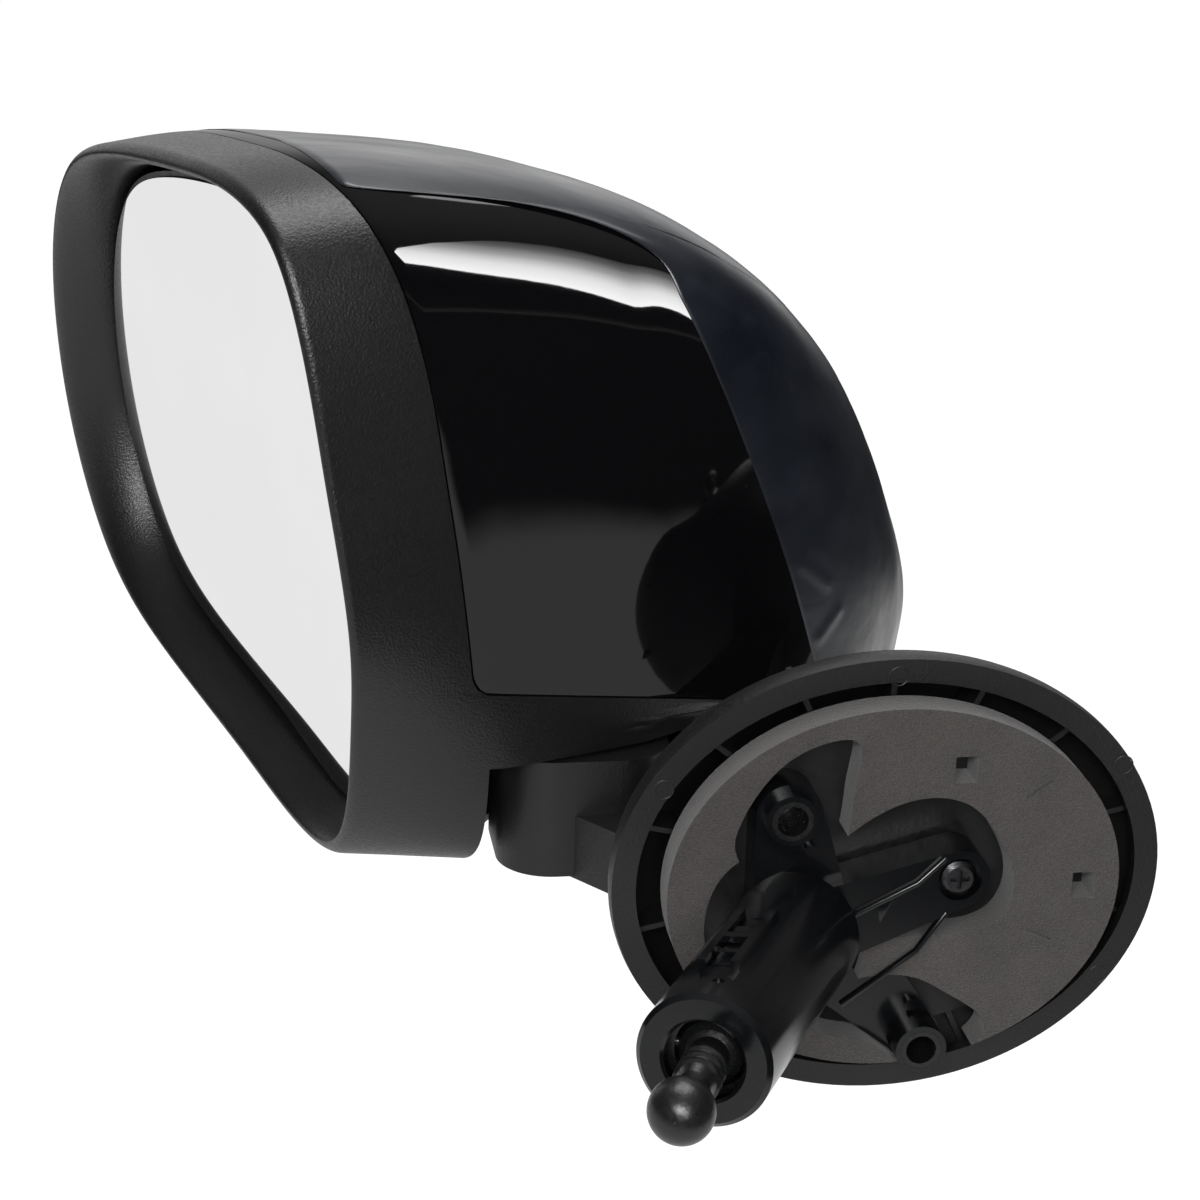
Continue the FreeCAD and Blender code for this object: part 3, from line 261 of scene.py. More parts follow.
texturedBlack = mouldedPlastic("texturedBlack", (0.0045, 0.0045, 0.0049), 0.40, 0.0005, 0.00014)
footBlack = mouldedPlastic("footBlack", (0.0045, 0.0043, 0.0045), 0.48, 0.0005, 0.00009)
innerBlack = mouldedPlastic("innerBlack", (0.0025, 0.0025, 0.0025), 0.42, 0.0009, 0.00006)
satinBlack = mouldedPlastic("satinBlack", (0.005, 0.0052, 0.0055), 0.28, 0.0007, 0.00004)
knobGrey = mouldedPlastic("knobGrey", (0.005, 0.005, 0.0052), 0.33, 0.0006, 0.00005)
nylon = mouldedPlastic("nylon", (0.42, 0.41, 0.38), 0.45, 0.0009, 0.00005)
cableRubber = mouldedPlastic("cableRubber", (0.012, 0.012, 0.012), 0.55, 0.0006, 0.00008)
pianoBlack = glossPlastic("pianoBlack", (0.0015, 0.0015, 0.0018), 0.03, 0.62)
bracketBlack = glossPlastic("bracketBlack", (0.0022, 0.0024, 0.0028), 0.13)
foil = filmPlastic("foil")
foam = foamRubber("foam")
silver = mirrorSilver("silver")
steel = platedSteel("steel", (0.45, 0.45, 0.46))
darkSteel = platedSteel("darkSteel", (0.09, 0.09, 0.095))
print("finishes made")


# Mesh helpers

def bareObject(name, bm):
    mesh = bpy.data.meshes.new(name)
    bm.to_mesh(mesh)
    bm.free()
    obj = bpy.data.objects.new(name, mesh)
    bpy.context.scene.collection.objects.link(obj)
    return obj


def toObject(name, bm, paint, body):
    for face in bm.faces:
        face.smooth = True
    obj = bareObject(name, bm)
    dress(obj, paint)
    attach(obj, body)
    return obj


def finishWith(obj, kind, **settings):
    modifier = obj.modifiers.new(kind, kind)
    for key, value in settings.items():
        setattr(modifier, key, value)
    return modifier


def applyAll(obj):
    bpy.context.view_layer.objects.active = obj
    graph = bpy.context.evaluated_depsgraph_get()
    mesh = bpy.data.meshes.new_from_object(obj.evaluated_get(graph))
    obj.modifiers.clear()
    old = obj.data
    obj.data = mesh
    bpy.data.meshes.remove(old)


def softEdges(bm, width, angle=35.0, segments=2):
    edges = [edge for edge in bm.edges if edge.is_manifold and edge.calc_face_angle(0) > math.radians(angle)]
    bmesh.ops.bevel(bm, geom=edges, offset=width, segments=segments, profile=0.5, affect="EDGES",
                    material=-1, clamp_overlap=True)


# Head: places are (x, y) in the rim's frame and a depth forwards of it

head = {
    "halfWidth": 98.5,
    "halfHeight": 81.5,
    "outline": [(0.67, -1.00), (0.93, -0.50), (1.00, -0.24), (1.00, 0.26), (0.975, 0.64), (0.88, 0.90),
                (0.70, 0.99), (0.35, 1.00), (-0.28, 0.92), (-0.56, 0.82), (-0.84, 0.54), (-1.00, 0.13),
                (-1.00, -0.34), (-0.87, -0.63), (-0.48, -0.84), (0.10, -0.98)],
    "lowCorner": [(0.87, -1.00), (0.985, -0.62)],
    "lowCornerFull": 35.0,
    # depth, near, outboard, top, bottom, share of ellipse
    "stations": [(0, 98.5, -98.5, 81.5, -81.5, 0), (22, 99, -99.5, 80.5, -85, 0),
                 (50, 99, -97, 74.5, -88.5, 0), (80, 99, -89, 65.5, -92, 0.05),
                 (108, 98.5, -74, 50.5, -94.5, 0.1), (130, 93, -54, 32, -96, 0.25),
                 (148, 82, -32, 9.5, -96, 0.45), (162, 69, -8, -17, -93, 0.7),
                 (171.5, 56, 10, -40, -88, 0.9), (177.5, 42, 23, -57, -79, 1), (179, 36, 29, -65, -71, 1)],
    "seam": 27.0,
    "seamBack": [(92, -12), (75, -6.5), (60, -3), (40, -0.8), (10, 0), (-30, 0.5)],
    "skirtTop": -37.0,
    "skirtFall": 0.335,
    "cornerRadius": 5.0,
    "gap": 0.4,
    "bezelWall": 1.8,
    "capWall": 2.2,
}
cornerCount = len(head["outline"])


def rimPoint(x, y, depth):
    return rimFrame @ Vector((x * mm, y * mm, -depth * mm))


def steadyCurve(knots, values, at):
    # smooth curve through a few values, with slopes from the neighbours
    knots = np.asarray(knots, float)
    values = np.asarray(values, float)
    slopes = np.gradient(values, knots, axis=0)
    at = np.clip(at, knots[0], knots[-1])
    i = np.clip(np.searchsorted(knots, at, side="right") - 1, 0, len(knots) - 2)
    step = knots[i + 1] - knots[i]
    t = (at - knots[i]) / step
    if values.ndim > 1:
        t = t[..., None]
        step = step[..., None]
    a, b = values[i], values[i + 1]
    return ((2 * t ** 3 - 3 * t ** 2 + 1) * a + (t ** 3 - 2 * t ** 2 + t) * step * slopes[i]
            + (3 * t ** 2 - 2 * t ** 3) * b + (t ** 3 - t ** 2) * step * slopes[i + 1])


def loopWeights():
    # periodic cubic through the outline's corners, spaced as they lie round the rim
    corners = np.array(head["outline"]) * (head["halfWidth"], head["halfHeight"])
    count = len(corners)
    gaps = np.linalg.norm(np.roll(corners, -1, axis=0) - corners, axis=1)
    left = np.zeros((count, count))
    right = np.zeros((count, count))
    for i in range(count):
        before, after = (i - 1) % count, (i + 1) % count
        left[i, before] += gaps[before]
        left[i, i] += 2 * (gaps[before] + gaps[i])
        left[i, after] += gaps[i]
        right[i, before] += 6 / gaps[before]
        right[i, i] -= 6 / gaps[before] + 6 / gaps[i]
        right[i, after] += 6 / gaps[i]
    return gaps, np.linalg.solve(left, right)


loopGaps, loopBends = loopWeights()


def alongLoop(turn, corners):
    # corners: one (x, y) for each outline corner; turn: place along them, counted in corners
    count = len(loopGaps)
    turn = np.mod(turn, count)
    i = np.floor(turn).astype(int) % count
    f = turn - np.floor(turn)
    gap = loopGaps[i]
    near, far = np.eye(count)[i], np.eye(count)[(i + 1) % count]
    bendNear, bendFar = loopBends[i], loopBends[(i + 1) % count]
    a, b = 1 - f, f
    weights = (a[..., None] * near + b[..., None] * far
               + ((a ** 3 - a) * gap ** 2 / 6)[..., None] * bendNear
               + ((b ** 3 - b) * gap ** 2 / 6)[..., None] * bendFar)
    return (weights[..., None] * corners).sum(-2)


def headSkin(turn, depth):
    turn, depth = np.broadcast_arrays(np.asarray(turn, float), np.asarray(depth, float))
    stations = np.array(head["stations"], float)
    near, out, top, bottom, oval = np.moveaxis(steadyCurve(stations[:, 0], stations[:, 1:], depth), -1, 0)
    rim = np.array(head["outline"])
    low = rim.copy()
    low[:2] = head["lowCorner"]
    share = np.clip(depth / head["lowCornerFull"], 0, 1)[..., None, None]
    corners = rim + share * (low - rim)
    angle = np.arctan2(corners[..., 1], corners[..., 0])
    oval = oval[..., None, None]
    round_ = np.stack([np.cos(angle), np.sin(angle)], -1)
    corners = (1 - oval) * corners + oval * round_
    half = np.stack([(near - out) / 2, (top - bottom) / 2], -1)
    middle = np.stack([(near + out) / 2, (top + bottom) / 2], -1)
    return alongLoop(turn, corners) * half + middle


def seamDepth(y, gap):
    # depth at which the cap starts, for each height on the head
    seam = head["seam"] + gap
    foot = head["skirtTop"] + gap
    bend = head["cornerRadius"]
    knots = sorted(head["seamBack"])
    back = seam + steadyCurve([k[0] for k in knots], [k[1] for k in knots], y)
    drop = bend * (1 + head["skirtFall"])
    t = np.clip((foot + bend - y) / drop, 0, 1)
    corner = seam + 0.5 + bend * (1 - np.sqrt(1 - t ** 2))
    skirt = seam + 0.5 + (foot - y) / head["skirtFall"]
    return np.where(y > foot + bend, back, np.where(y > foot - head["skirtFall"] * bend, corner, skirt))


def firstWhere(test, low, high, steps=44):
    # bisection on whole arrays: the first place where the test holds
    low = np.array(low, float)
    high = np.array(high, float)
    for _ in range(steps):
        middle = (low + high) / 2
        holds = test(middle)
        high = np.where(holds, middle, high)
        low = np.where(holds, low, middle)
    return high


def lowestTurn(depth):
    turns = np.linspace(14.6, 16.2, 65)
    y = headSkin(turns[None, :], np.ravel(depth)[:, None])[..., 1]
    return turns[np.argmin(y, axis=1)].reshape(np.shape(depth))


def skirtTurns(depth, gap):
    # where the skirt's edge crosses the section, on the near and on the outboard side
    depth = np.asarray(depth, float)
    line = head["skirtTop"] + gap - head["skirtFall"] * (depth - head["seam"] - gap - 0.5)
    knots = np.linspace(0, head["stations"][-1][0], 90)
    lowest = steadyCurve(knots, lowestTurn(knots), depth)

    def nearAbove(turn):
        return headSkin(turn, depth)[..., 1] > line

    def farAbove(back):
        return headSkin(cornerCount - back, depth)[..., 1] > line

    # corners 6 and 9 lie well above the skirt, so each search ends there
    near = firstWhere(nearAbove, lowest - cornerCount, np.full(depth.shape, 6.0))
    far = cornerCount - firstWhere(farAbove, cornerCount - lowest, np.full(depth.shape, 7.0))
    return near, far


def mapGrid(across, along, place):
    # a grid of faces whose corners are then laid on a surface: place(column, row) gives arrays of points
    bm = bmesh.new()
    bmesh.ops.create_grid(bm, x_segments=across, y_segments=along, size=0.5)
    bm.verts.ensure_lookup_table()
    column = np.array([v.co.x + 0.5 for v in bm.verts])
    row = np.array([v.co.y + 0.5 for v in bm.verts])
    for vert, point in zip(bm.verts, place(column, row)):
        vert.co = point
    bmesh.ops.remove_doubles(bm, verts=bm.verts, dist=2e-5)
    bmesh.ops.dissolve_degenerate(bm, edges=bm.edges, dist=1e-6)
    return bm


def faceOut(bm, inside):
    # turns the whole surface so that most of it looks away from a point inside
    bmesh.ops.recalc_face_normals(bm, faces=bm.faces)
    bm.normal_update()
    score = sum(face.normal.dot(face.calc_center_median() - inside) * face.calc_area() for face in bm.faces)
    if score < 0:
        bmesh.ops.reverse_faces(bm, faces=bm.faces)


headMiddle = rimPoint(5, -10, 80)


# Bezel: rolled rim, funnel to the glass, side wall and skirt in one shell

bezel = {
    "lipAround": 6.5, "lipNear": 3.5, "lipFar": 14.5,
    "roll": 3.4, "funnelDeep": 14.0, "returnDeep": 17.0,
    "columns": 360, "rows": 84,
    # shares of the rows at which the return, the funnel and the roll end; the rest is the outer wall
    "returnRows": 0.04, "funnelRows": 0.22, "rollRows": 0.32,
    "pocket": {"tip": (55.0, -55.5), "wide": 112.0, "deep": 7.0, "fall": 6.5, "spread": 26.0},
    "notch": {"rear": -55.5, "front": -8.0, "reach": -103.0, "long": 60.0, "top": 4.5, "turn": 20,
              "knuckleRoom": 0.0246, "corner": 3.5, "neckTop": -9.0, "neckLong": 0.130, "neckWide": 0.032,
              "neckSwings": 6, "swingStep": 17, "swingStart": -50},
    "edge": 0.35,
}


def openingPoint(turn):
    near = head["halfWidth"] - bezel["lipNear"]
    far = bezel["lipFar"] - head["halfWidth"]
    corners = np.array(head["outline"])
    share = alongLoop(turn, np.broadcast_to(corners, turn.shape + corners.shape))
    tall = head["halfHeight"] - bezel["lipAround"]
    return np.stack([(near + far) / 2 + share[..., 0] * (near - far) / 2, share[..., 1] * tall], -1)


def bezelEnd(turn):
    # first depth at which the column reaches the cap's region
    depths = np.linspace(8, 178, 340)
    y = headSkin(turn[:, None], depths[None, :])[..., 1]
    inside = depths[None, :] > seamDepth(y, 0.0)
    first = np.argmax(inside, axis=1)

    def inCap(depth):
        return depth > seamDepth(headSkin(turn, depth)[..., 1], 0.0)

    return firstWhere(inCap, depths[first - 1], depths[first])


def pocketDepth(depth, y, x):
    # scooped triangle under the cap's edge, opening forwards
    shape = bezel["pocket"]
    along = np.clip((depth - shape["tip"][0]) / (shape["wide"] - shape["tip"][0]), 0, 1)
    top = shape["tip"][1] - shape["fall"] * along
    low = shape["tip"][1] - 2.0 - shape["spread"] * along
    inTop = np.clip((top - y) / 3.5, 0, 1)
    inLow = np.clip((y - low) / 9.0, 0, 1)
    inTop = inTop * inTop * (3 - 2 * inTop)
    inLow = inLow * inLow * (3 - 2 * inLow)
    return shape["deep"] * np.sqrt(along) * inTop * inLow * (x > 60)


def bezelPlace(column, row):
    turn = column * cornerCount
    returnRows, funnelRows, rollRows = bezel["returnRows"], bezel["funnelRows"], bezel["rollRows"]
    edge = headSkin(turn, np.zeros_like(turn))
    opening = openingPoint(turn)
    reach = opening - edge
    width = np.linalg.norm(reach, axis=-1)
    inward = reach / width[..., None]
    roll = np.minimum(bezel["roll"], 0.42 * width)
    unique, index = np.unique(turn, return_inverse=True)
    end = bezelEnd(unique)[index]
    back = row < returnRows
    funnel = (row >= returnRows) & (row < funnelRows)
    rolled = (row >= funnelRows) & (row < rollRows)
    outer = row >= rollRows
    t = row / returnRows
    depth = np.where(back, bezel["returnDeep"] + (bezel["funnelDeep"] - bezel["returnDeep"]) * t, 0.0)
    offset = np.where(back, width, 0.0)
    t = (funnelRows - row) / (funnelRows - returnRows)
    spread = width - roll
    curve = (roll * (1 - t) ** 3 + 3 * (roll + 0.42 * spread) * t * (1 - t) ** 2
             + 3 * (width - 0.10 * spread) * t ** 2 * (1 - t) + width * t ** 3)
    sink = 3 * 0.7 * t * (1 - t) ** 2 + 3 * 7.0 * t ** 2 * (1 - t) + bezel["funnelDeep"] * t ** 3
    offset = np.where(funnel, curve, offset)
    depth = np.where(funnel, sink, depth)
    angle = (rollRows - row) / (rollRows - funnelRows) * math.pi / 2
    offset = np.where(rolled, roll * (1 - np.cos(angle)), offset)
    depth = np.where(rolled, roll * (1 - np.sin(angle)), depth)
    t = np.clip((row - rollRows) / (1 - rollRows), 0, 1)
    depth = np.where(outer, roll + (end - roll) * t, depth)
    point = headSkin(turn, depth * (outer | rolled)) + inward * offset[..., None]
    x, y = point[..., 0], point[..., 1]
    x = x - outer * pocketDepth(depth, y, x)
    return [rimPoint(*values) for values in zip(x, y, depth)]


def notchCutter():
    # room for the knuckle and the neck over the whole fold
    shape = bezel["notch"]
    pivot = Vector(joints["head_fold"]["pos_m"])
    bm = bmesh.new()
    low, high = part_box("foot_cover")[0].z - 0.03, shape["top"] * mm
    tall = high - low
    middle = pivot.xy.to_3d() + Vector((0, 0, (low + high) / 2))
    bmesh.ops.create_cone(bm, cap_ends=True, segments=72, radius1=shape["knuckleRoom"],
                          radius2=shape["knuckleRoom"], depth=tall, matrix=Matrix.Translation(middle))
    turned = Matrix.Rotation(math.radians(shape["turn"]), 4, "Z")
    size = Vector((shape["long"] * mm, (shape["front"] - shape["rear"]) * mm, tall))
    centre = turned @ Vector(((shape["reach"] + shape["long"] / 2) * mm,
                              (shape["front"] + shape["rear"]) / 2 * mm, (low + high) / 2))
    place = Matrix.Translation(centre) @ turned @ Matrix.Diagonal((*size, 1))
    made = bmesh.ops.create_cube(bm, size=1.0, matrix=place)
    sides = {edge for vert in made["verts"] for edge in vert.link_edges}
    upright = [edge for edge in sides if abs(edge.verts[0].co.z - edge.verts[1].co.z) > tall / 2]
    bmesh.ops.bevel(bm, geom=upright, offset=shape["corner"] * mm, segments=5, profile=0.5, affect="EDGES",
                    material=-1)
    neckTop = shape["neckTop"] * mm
    # the neck runs from the pivot towards the foot's middle, and swings with the fold
    heading = math.atan2(55.5, 74.0)
    for step in range(shape["neckSwings"]):
        swing = heading + math.radians(shape["swingStep"] * step + shape["swingStart"])
        spin = Matrix.Rotation(swing, 4, "Z")
        bar = Matrix.Translation(pivot.xy.to_3d() + Vector((0, 0, (low + neckTop) / 2))) @ spin
        bar = bar @ Matrix.Translation((shape["neckLong"] / 2, 0, 0))
        bar = bar @ Matrix.Diagonal((shape["neckLong"], shape["neckWide"], neckTop - low, 1))
        bmesh.ops.create_cube(bm, size=1.0, matrix=bar)
    return bareObject("notchCutter", bm)


def makeBezel():
    bm = mapGrid(bezel["columns"], bezel["rows"], bezelPlace)
    faceOut(bm, headMiddle)
    shell = toObject("bezelShell", bm, texturedBlack, "head")
    finishWith(shell, "SOLIDIFY", thickness=head["bezelWall"] * mm, offset=-1.0, use_even_offset=False)
    cutter = notchCutter()
    finishWith(shell, "BOOLEAN", object=cutter, operation="DIFFERENCE", solver="EXACT", use_self=True)
    applyAll(shell)
    bpy.data.objects.remove(cutter)
    finishWith(shell, "BEVEL", width=bezel["edge"] * mm, segments=2, limit_method="ANGLE",
               angle_limit=math.radians(50), profile=0.5)
    shell.data.shade_smooth()
    finishWith(shell, "WEIGHTED_NORMAL", keep_sharp=True)
    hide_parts("bezel")
    return shell


# Cap and the foil on it

cap = {"columns": 230, "rows": 96, "closing": 3, "edge": 0.45}
film = {
    "lift": 0.18,
    "edge": [(77.7, 21.7), (69.8, 50.2), (58.5, 77.0), (50.0, 88.5), (39.7, 92.0), (2.5, 103.0),
             (-58.9, 119.7)],
    "farEdge": 6.0,
    "flap": {"height": 60.0, "spread": 11.0, "rise": 1.1, "reach": 16.0},
    "creases": [((114, -13), (121, -6), 0.5), ((116, -30), (124, -38), 0.35), ((110, 30), (118, 12), 0.4),
                ((96, 42), (104, 33), 0.45), ((121, -52), (128, -47), 0.4)],
    "columns": 260, "rows": 110,
}


def capPlace(column, row, start, gap):
    # column runs over the head from the near skirt edge to the outboard one, row forwards
    last = head["stations"][-1][0]
    share = 0.62 * column + 0.38 * (0.5 - 0.5 * np.cos(math.pi * column))
    unique, index = np.unique(share, return_inverse=True)

    def turnAt(part, depth):
        near, far = skirtTurns(depth, gap)
        return near + part * (far - near)

    def started(depth):
        point = headSkin(turnAt(unique, depth), depth)
        return depth - start(point, gap) > -0.02

    first = firstWhere(started, np.full(unique.shape, 8.0), np.full(unique.shape, 150.0), 26)[index]
    body = 1 - cap["closing"] / cap["rows"]
    t = np.clip(row / body, 0, 1)
    depth = first + (last - first) * (1 - (1 - t) ** 1.7)
    depths, place = np.unique(np.round(depth, 9), return_inverse=True)
    table = np.linspace(depths[0], last, 700)
    near, far = skirtTurns(table, gap)
    turn = np.interp(depth, table, near) * (1 - share) + np.interp(depth, table, far) * share
    point = headSkin(turn, depth)
    shrink = np.clip((row - body) / (1 - body), 0, 1)
    tip = np.array([(head["stations"][-1][1] + head["stations"][-1][2]) / 2,
                    (head["stations"][-1][3] + head["stations"][-1][4]) / 2])
    point = point + (tip - point) * shrink[..., None]
    depth = depth + 0.25 * np.sin(shrink * math.pi / 2)
    return point, depth


def seamStart(point, gap):
    return seamDepth(point[..., 1], gap)


def filmStart(point, gap):
    knots = sorted(film["edge"])
    near = steadyCurve([k[0] for k in knots], [k[1] for k in knots], point[..., 1])
    far = seamDepth(point[..., 1], gap) + film["farEdge"]
    share = np.clip((point[..., 0] - 30) / 45, 0, 1)
    near = np.where(point[..., 1] > knots[-1][0], seamDepth(point[..., 1], gap) + 0.8, near)
    return np.maximum(far * (1 - share) + near * share, seamDepth(point[..., 1], gap) + 0.8)


def makeCap():
    def place(column, row):
        point, depth = capPlace(column, row, seamStart, head["gap"])
        return [rimPoint(*values) for values in zip(point[..., 0], point[..., 1], depth)]

    bm = mapGrid(cap["columns"], cap["rows"], place)
    faceOut(bm, headMiddle)
    shell = toObject("capShell", bm, pianoBlack, "head")
    finishWith(shell, "SOLIDIFY", thickness=head["capWall"] * mm, offset=-1.0)
    finishWith(shell, "BEVEL", width=cap["edge"] * mm, segments=3, limit_method="ANGLE",
               angle_limit=math.radians(60), profile=0.5)
    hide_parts("cap")
    return shell


def filmRise(x, y, depth, first):
    flap = film["flap"]
    rise = film["lift"]
    nearEdge = math.exp(-((depth - first) / flap["reach"]) ** 2 * 3)
    if x > 40:
        rise += flap["rise"] * math.exp(-((y - flap["height"]) / flap["spread"]) ** 2) * nearEdge
    for (d1, y1), (d2, y2), tall in film["creases"]:
        if x < 40:
            continue
        a = Vector((d1, y1))
        b = Vector((d2, y2))
        p = Vector((depth, y))
        t = max(0.0, min(1.0, (p - a).dot(b - a) / (b - a).length_squared))
        away = (p - a - t * (b - a)).length
        rise += tall * math.exp(-(away / 1.6) ** 2)
    rise += 0.10 * noise.noise(Vector((depth / 9, y / 14, x / 14)))
    rise += 0.05 * noise.noise(Vector((depth / 3.5, y / 6, x / 6)))
    return max(rise, 0.12)


def makeFilm():
    kept = {}

    def place(column, row):
        point, depth = capPlace(column, row, filmStart, head["gap"] + 0.3)
        kept["values"] = list(zip(point[..., 0], point[..., 1], depth))
        kept["first"] = {}
        for c, d in zip(column, depth):
            c = round(float(c), 6)
            kept["first"][c] = min(kept["first"].get(c, 999), d)
        kept["columns"] = [round(float(c), 6) for c in column]
        return [rimPoint(*values) for values in kept["values"]]

    bm = bmesh.new()
    bmesh.ops.create_grid(bm, x_segments=film["columns"], y_segments=film["rows"], size=0.5)
    column = np.array([v.co.x + 0.5 for v in bm.verts])
    row = np.array([v.co.y + 0.5 for v in bm.verts])
    for vert, point in zip(bm.verts, place(column, row)):
        vert.co = point
    faceOut(bm, headMiddle)
    bm.normal_update()
    rises = [filmRise(x, y, depth, kept["first"][c])
             for (x, y, depth), c in zip(kept["values"], kept["columns"])]
    for vert, rise in zip(list(bm.verts), rises):
        vert.co += vert.normal * rise * mm
    bmesh.ops.remove_doubles(bm, verts=bm.verts, dist=2e-5)
    foilSheet = toObject("protectiveFoil", bm, foil, "head")
    finishWith(foilSheet, "SOLIDIFY", thickness=0.08 * mm, offset=-1.0)
    return foilSheet


makeBezel()
print("bezel made")
makeCap()
print("cap made")
makeFilm()
print("foil made")


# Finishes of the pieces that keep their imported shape

finishOf = {
    "foot_cover": footBlack, "foot_base": innerBlack, "foam_gasket": foam, "lever_bracket": bracketBlack,
    "boss_inserts": satinBlack, "bracket_screw": darkSteel, "cover_screws": steel,
    "sleeve_collar": bracketBlack, "swivel_ring": satinBlack, "lever": satinBlack, "lever_knob": knobGrey,
    "cable_anchor": nylon,
    "sleeve_latch": bracketBlack, "fold_shaft": steel, "detent_washer": steel, "spring_washer": steel,
    "fold_spring": steel, "spring_cup": steel, "shaft_nut": steel, "head_carrier": innerBlack,
    "carrier_screws": steel, "pivot_post": innerBlack, "gimbal_ring": nylon, "yaw_pins": steel,
    "pitch_pins": steel, "glass_holder": innerBlack, "mirror_glass": silver, "cable_nipples": steel,
    "cable_sheath": cableRubber, "glass_cables": cableRubber, "cable_guide": nylon,
}
for name, paint in finishOf.items():
    dress(nodes[name], paint)
print("packed pieces painted")


# Small mouldings on the foot and the bracket

details = {
    "pinSpots": [(-49.5, 22.5), (-0.6, 46.2), (50.2, 24.4), (48.8, -25.4)], "pinRadius": 1.9, "pinLine": 0.16,
    "armRib": [(-16.5, -6.4), (3.4, 3.7), (9.2, 9.4)], "armTop": 10.0, "ribWide": 1.3, "ribTall": 1.5,
    "lowRib": [(-11.5, -24.5), (4.4, -12.6), (10.4, -3.6)], "lowTop": 9.4,
    "gusset": [(-5.4, -1.3), (-1.4, 0.8), (-4.2, -5.2)], "gussetTall": 0.9, "ringPoints": 40,
}


def ribAlong(bm, spots, low, wide, tall):
    # a rounded bar through a few spots of the foot's face
    profile = [(-0.5, 0.0), (-0.5, 0.6), (-0.28, 1.0), (0.28, 1.0), (0.5, 0.6), (0.5, 0.0)]
    rows = []
    for number, spot in enumerate(spots):
        before = Vector(spots[max(number - 1, 0)])
        after = Vector(spots[min(number + 1, len(spots) - 1)])
        side = (after - before).normalized().orthogonal()
        rows.append([bm.verts.new(Vector((low + up * tall, spot[0] + side.x * across * wide,
                                          spot[1] + side.y * across * wide)) * mm) for across, up in profile])
    for first, second in zip(rows, rows[1:]):
        for a, b in zip(range(len(profile)), range(1, len(profile))):
            bm.faces.new((first[a], first[b], second[b], second[a]))
        bm.faces.new((first[-1], first[0], second[0], second[-1]))
    bm.faces.new(rows[0])
    bm.faces.new(rows[-1][::-1])


def makeBracketRibs():
    bm = bmesh.new()
    ribAlong(bm, details["armRib"], details["armTop"] - 0.3, details["ribWide"], details["ribTall"])
    ribAlong(bm, details["lowRib"], details["lowTop"] - 0.6, details["ribWide"], details["ribTall"])
    bottom = [bm.verts.new(Vector((details["armTop"] - 0.3, y, z)) * mm) for y, z in details["gusset"]]
    raised = [bm.verts.new(vert.co + Vector((details["gussetTall"] * mm, 0, 0))) for vert in bottom]
    bm.faces.new(bottom[::-1])
    bm.faces.new(raised)
    for a, b in ((0, 1), (1, 2), (2, 0)):
        bm.faces.new((bottom[a], bottom[b], raised[b], raised[a]))
    bmesh.ops.recalc_face_normals(bm, faces=bm.faces)
    softEdges(bm, 0.25 * mm)
    toObject("bracketRibs", bm, bracketBlack, "foot")


def makePinMarks():
    # shallow rings that the mould's ejector pins leave on the lip
    bm = bmesh.new()
    count = details["ringPoints"]
    for y, z in details["pinSpots"]:
        place = Matrix.Translation(Vector((0, y, z)) * mm) @ Matrix.Rotation(math.radians(90), 4, "Y")
        inner, outer, crest = (
            bmesh.ops.create_circle(bm, segments=count, matrix=place,
                                    radius=(details["pinRadius"] + lines * details["pinLine"]) * mm)["verts"]
            for lines in (0, 2, 1))
        for vert in crest:
            vert.co.x += details["pinLine"] * mm
        for low, high in ((inner, crest), (crest, outer)):
            for number in range(count):
                after = (number + 1) % count
                bm.faces.new((low[number], low[after], high[after], high[number]))
    bmesh.ops.recalc_face_normals(bm, faces=bm.faces)
    toObject("pinMarks", bm, footBlack, "foot")


makeBracketRibs()
makePinMarks()
print("foot details made")


# Floor, light and camera

studio = {
    "floorBelow": 0.16,
    "floorSize": 40.0,
    "glowSeen": 1.15, "glowShare": 0.85,
    # the mirrored floor is a pale sheet that ends in front of the object
    "sheetMiddle": (-0.45, -0.45), "sheetReach": 0.95, "sheetFade": 0.12, "sheetGlow": 0.84, "roomGlow": 0.03,
    # the key light is a tilted panel that is brightest along its low edge
    "keyMiddle": (0.85, -0.206, 0.565), "keySize": (0.70, 0.45), "keyRoll": -38.0, "keyGlow": 28.0,
    "keyStops": [(0.0, 1.0), (0.25, 0.78), (0.5, 0.34), (0.75, 0.11), (1.0, 0.03)],
    "topPlace": (-0.35, 0.10, 1.20), "topSize": (0.9, 0.9), "topPower": 12.0,
    # radiance by height on the camera's side, then on the far side
    "nearStops": [(0.0, 0.30), (0.495, 0.30), (0.505, 0.03), (0.58, 0.012), (0.72, 0.06), (0.82, 0.16),
                  (1.0, 0.35)],
    # the far side begins and is full at these places of the view direction's x
    "farFrom": -0.62, "farTo": -0.88,
    "farStops": [(0.0, 0.5), (0.49, 0.9), (0.56, 1.0), (0.70, 0.75), (0.85, 0.5), (1.0, 0.4)],
}
camera = {
    "place": (0.49107, -0.14183, 0.23595),
    "right": (0.14796, 0.98868, 0.02475),
    "up": (-0.32554, 0.02506, 0.94519),
    "lens": 78.0,
}


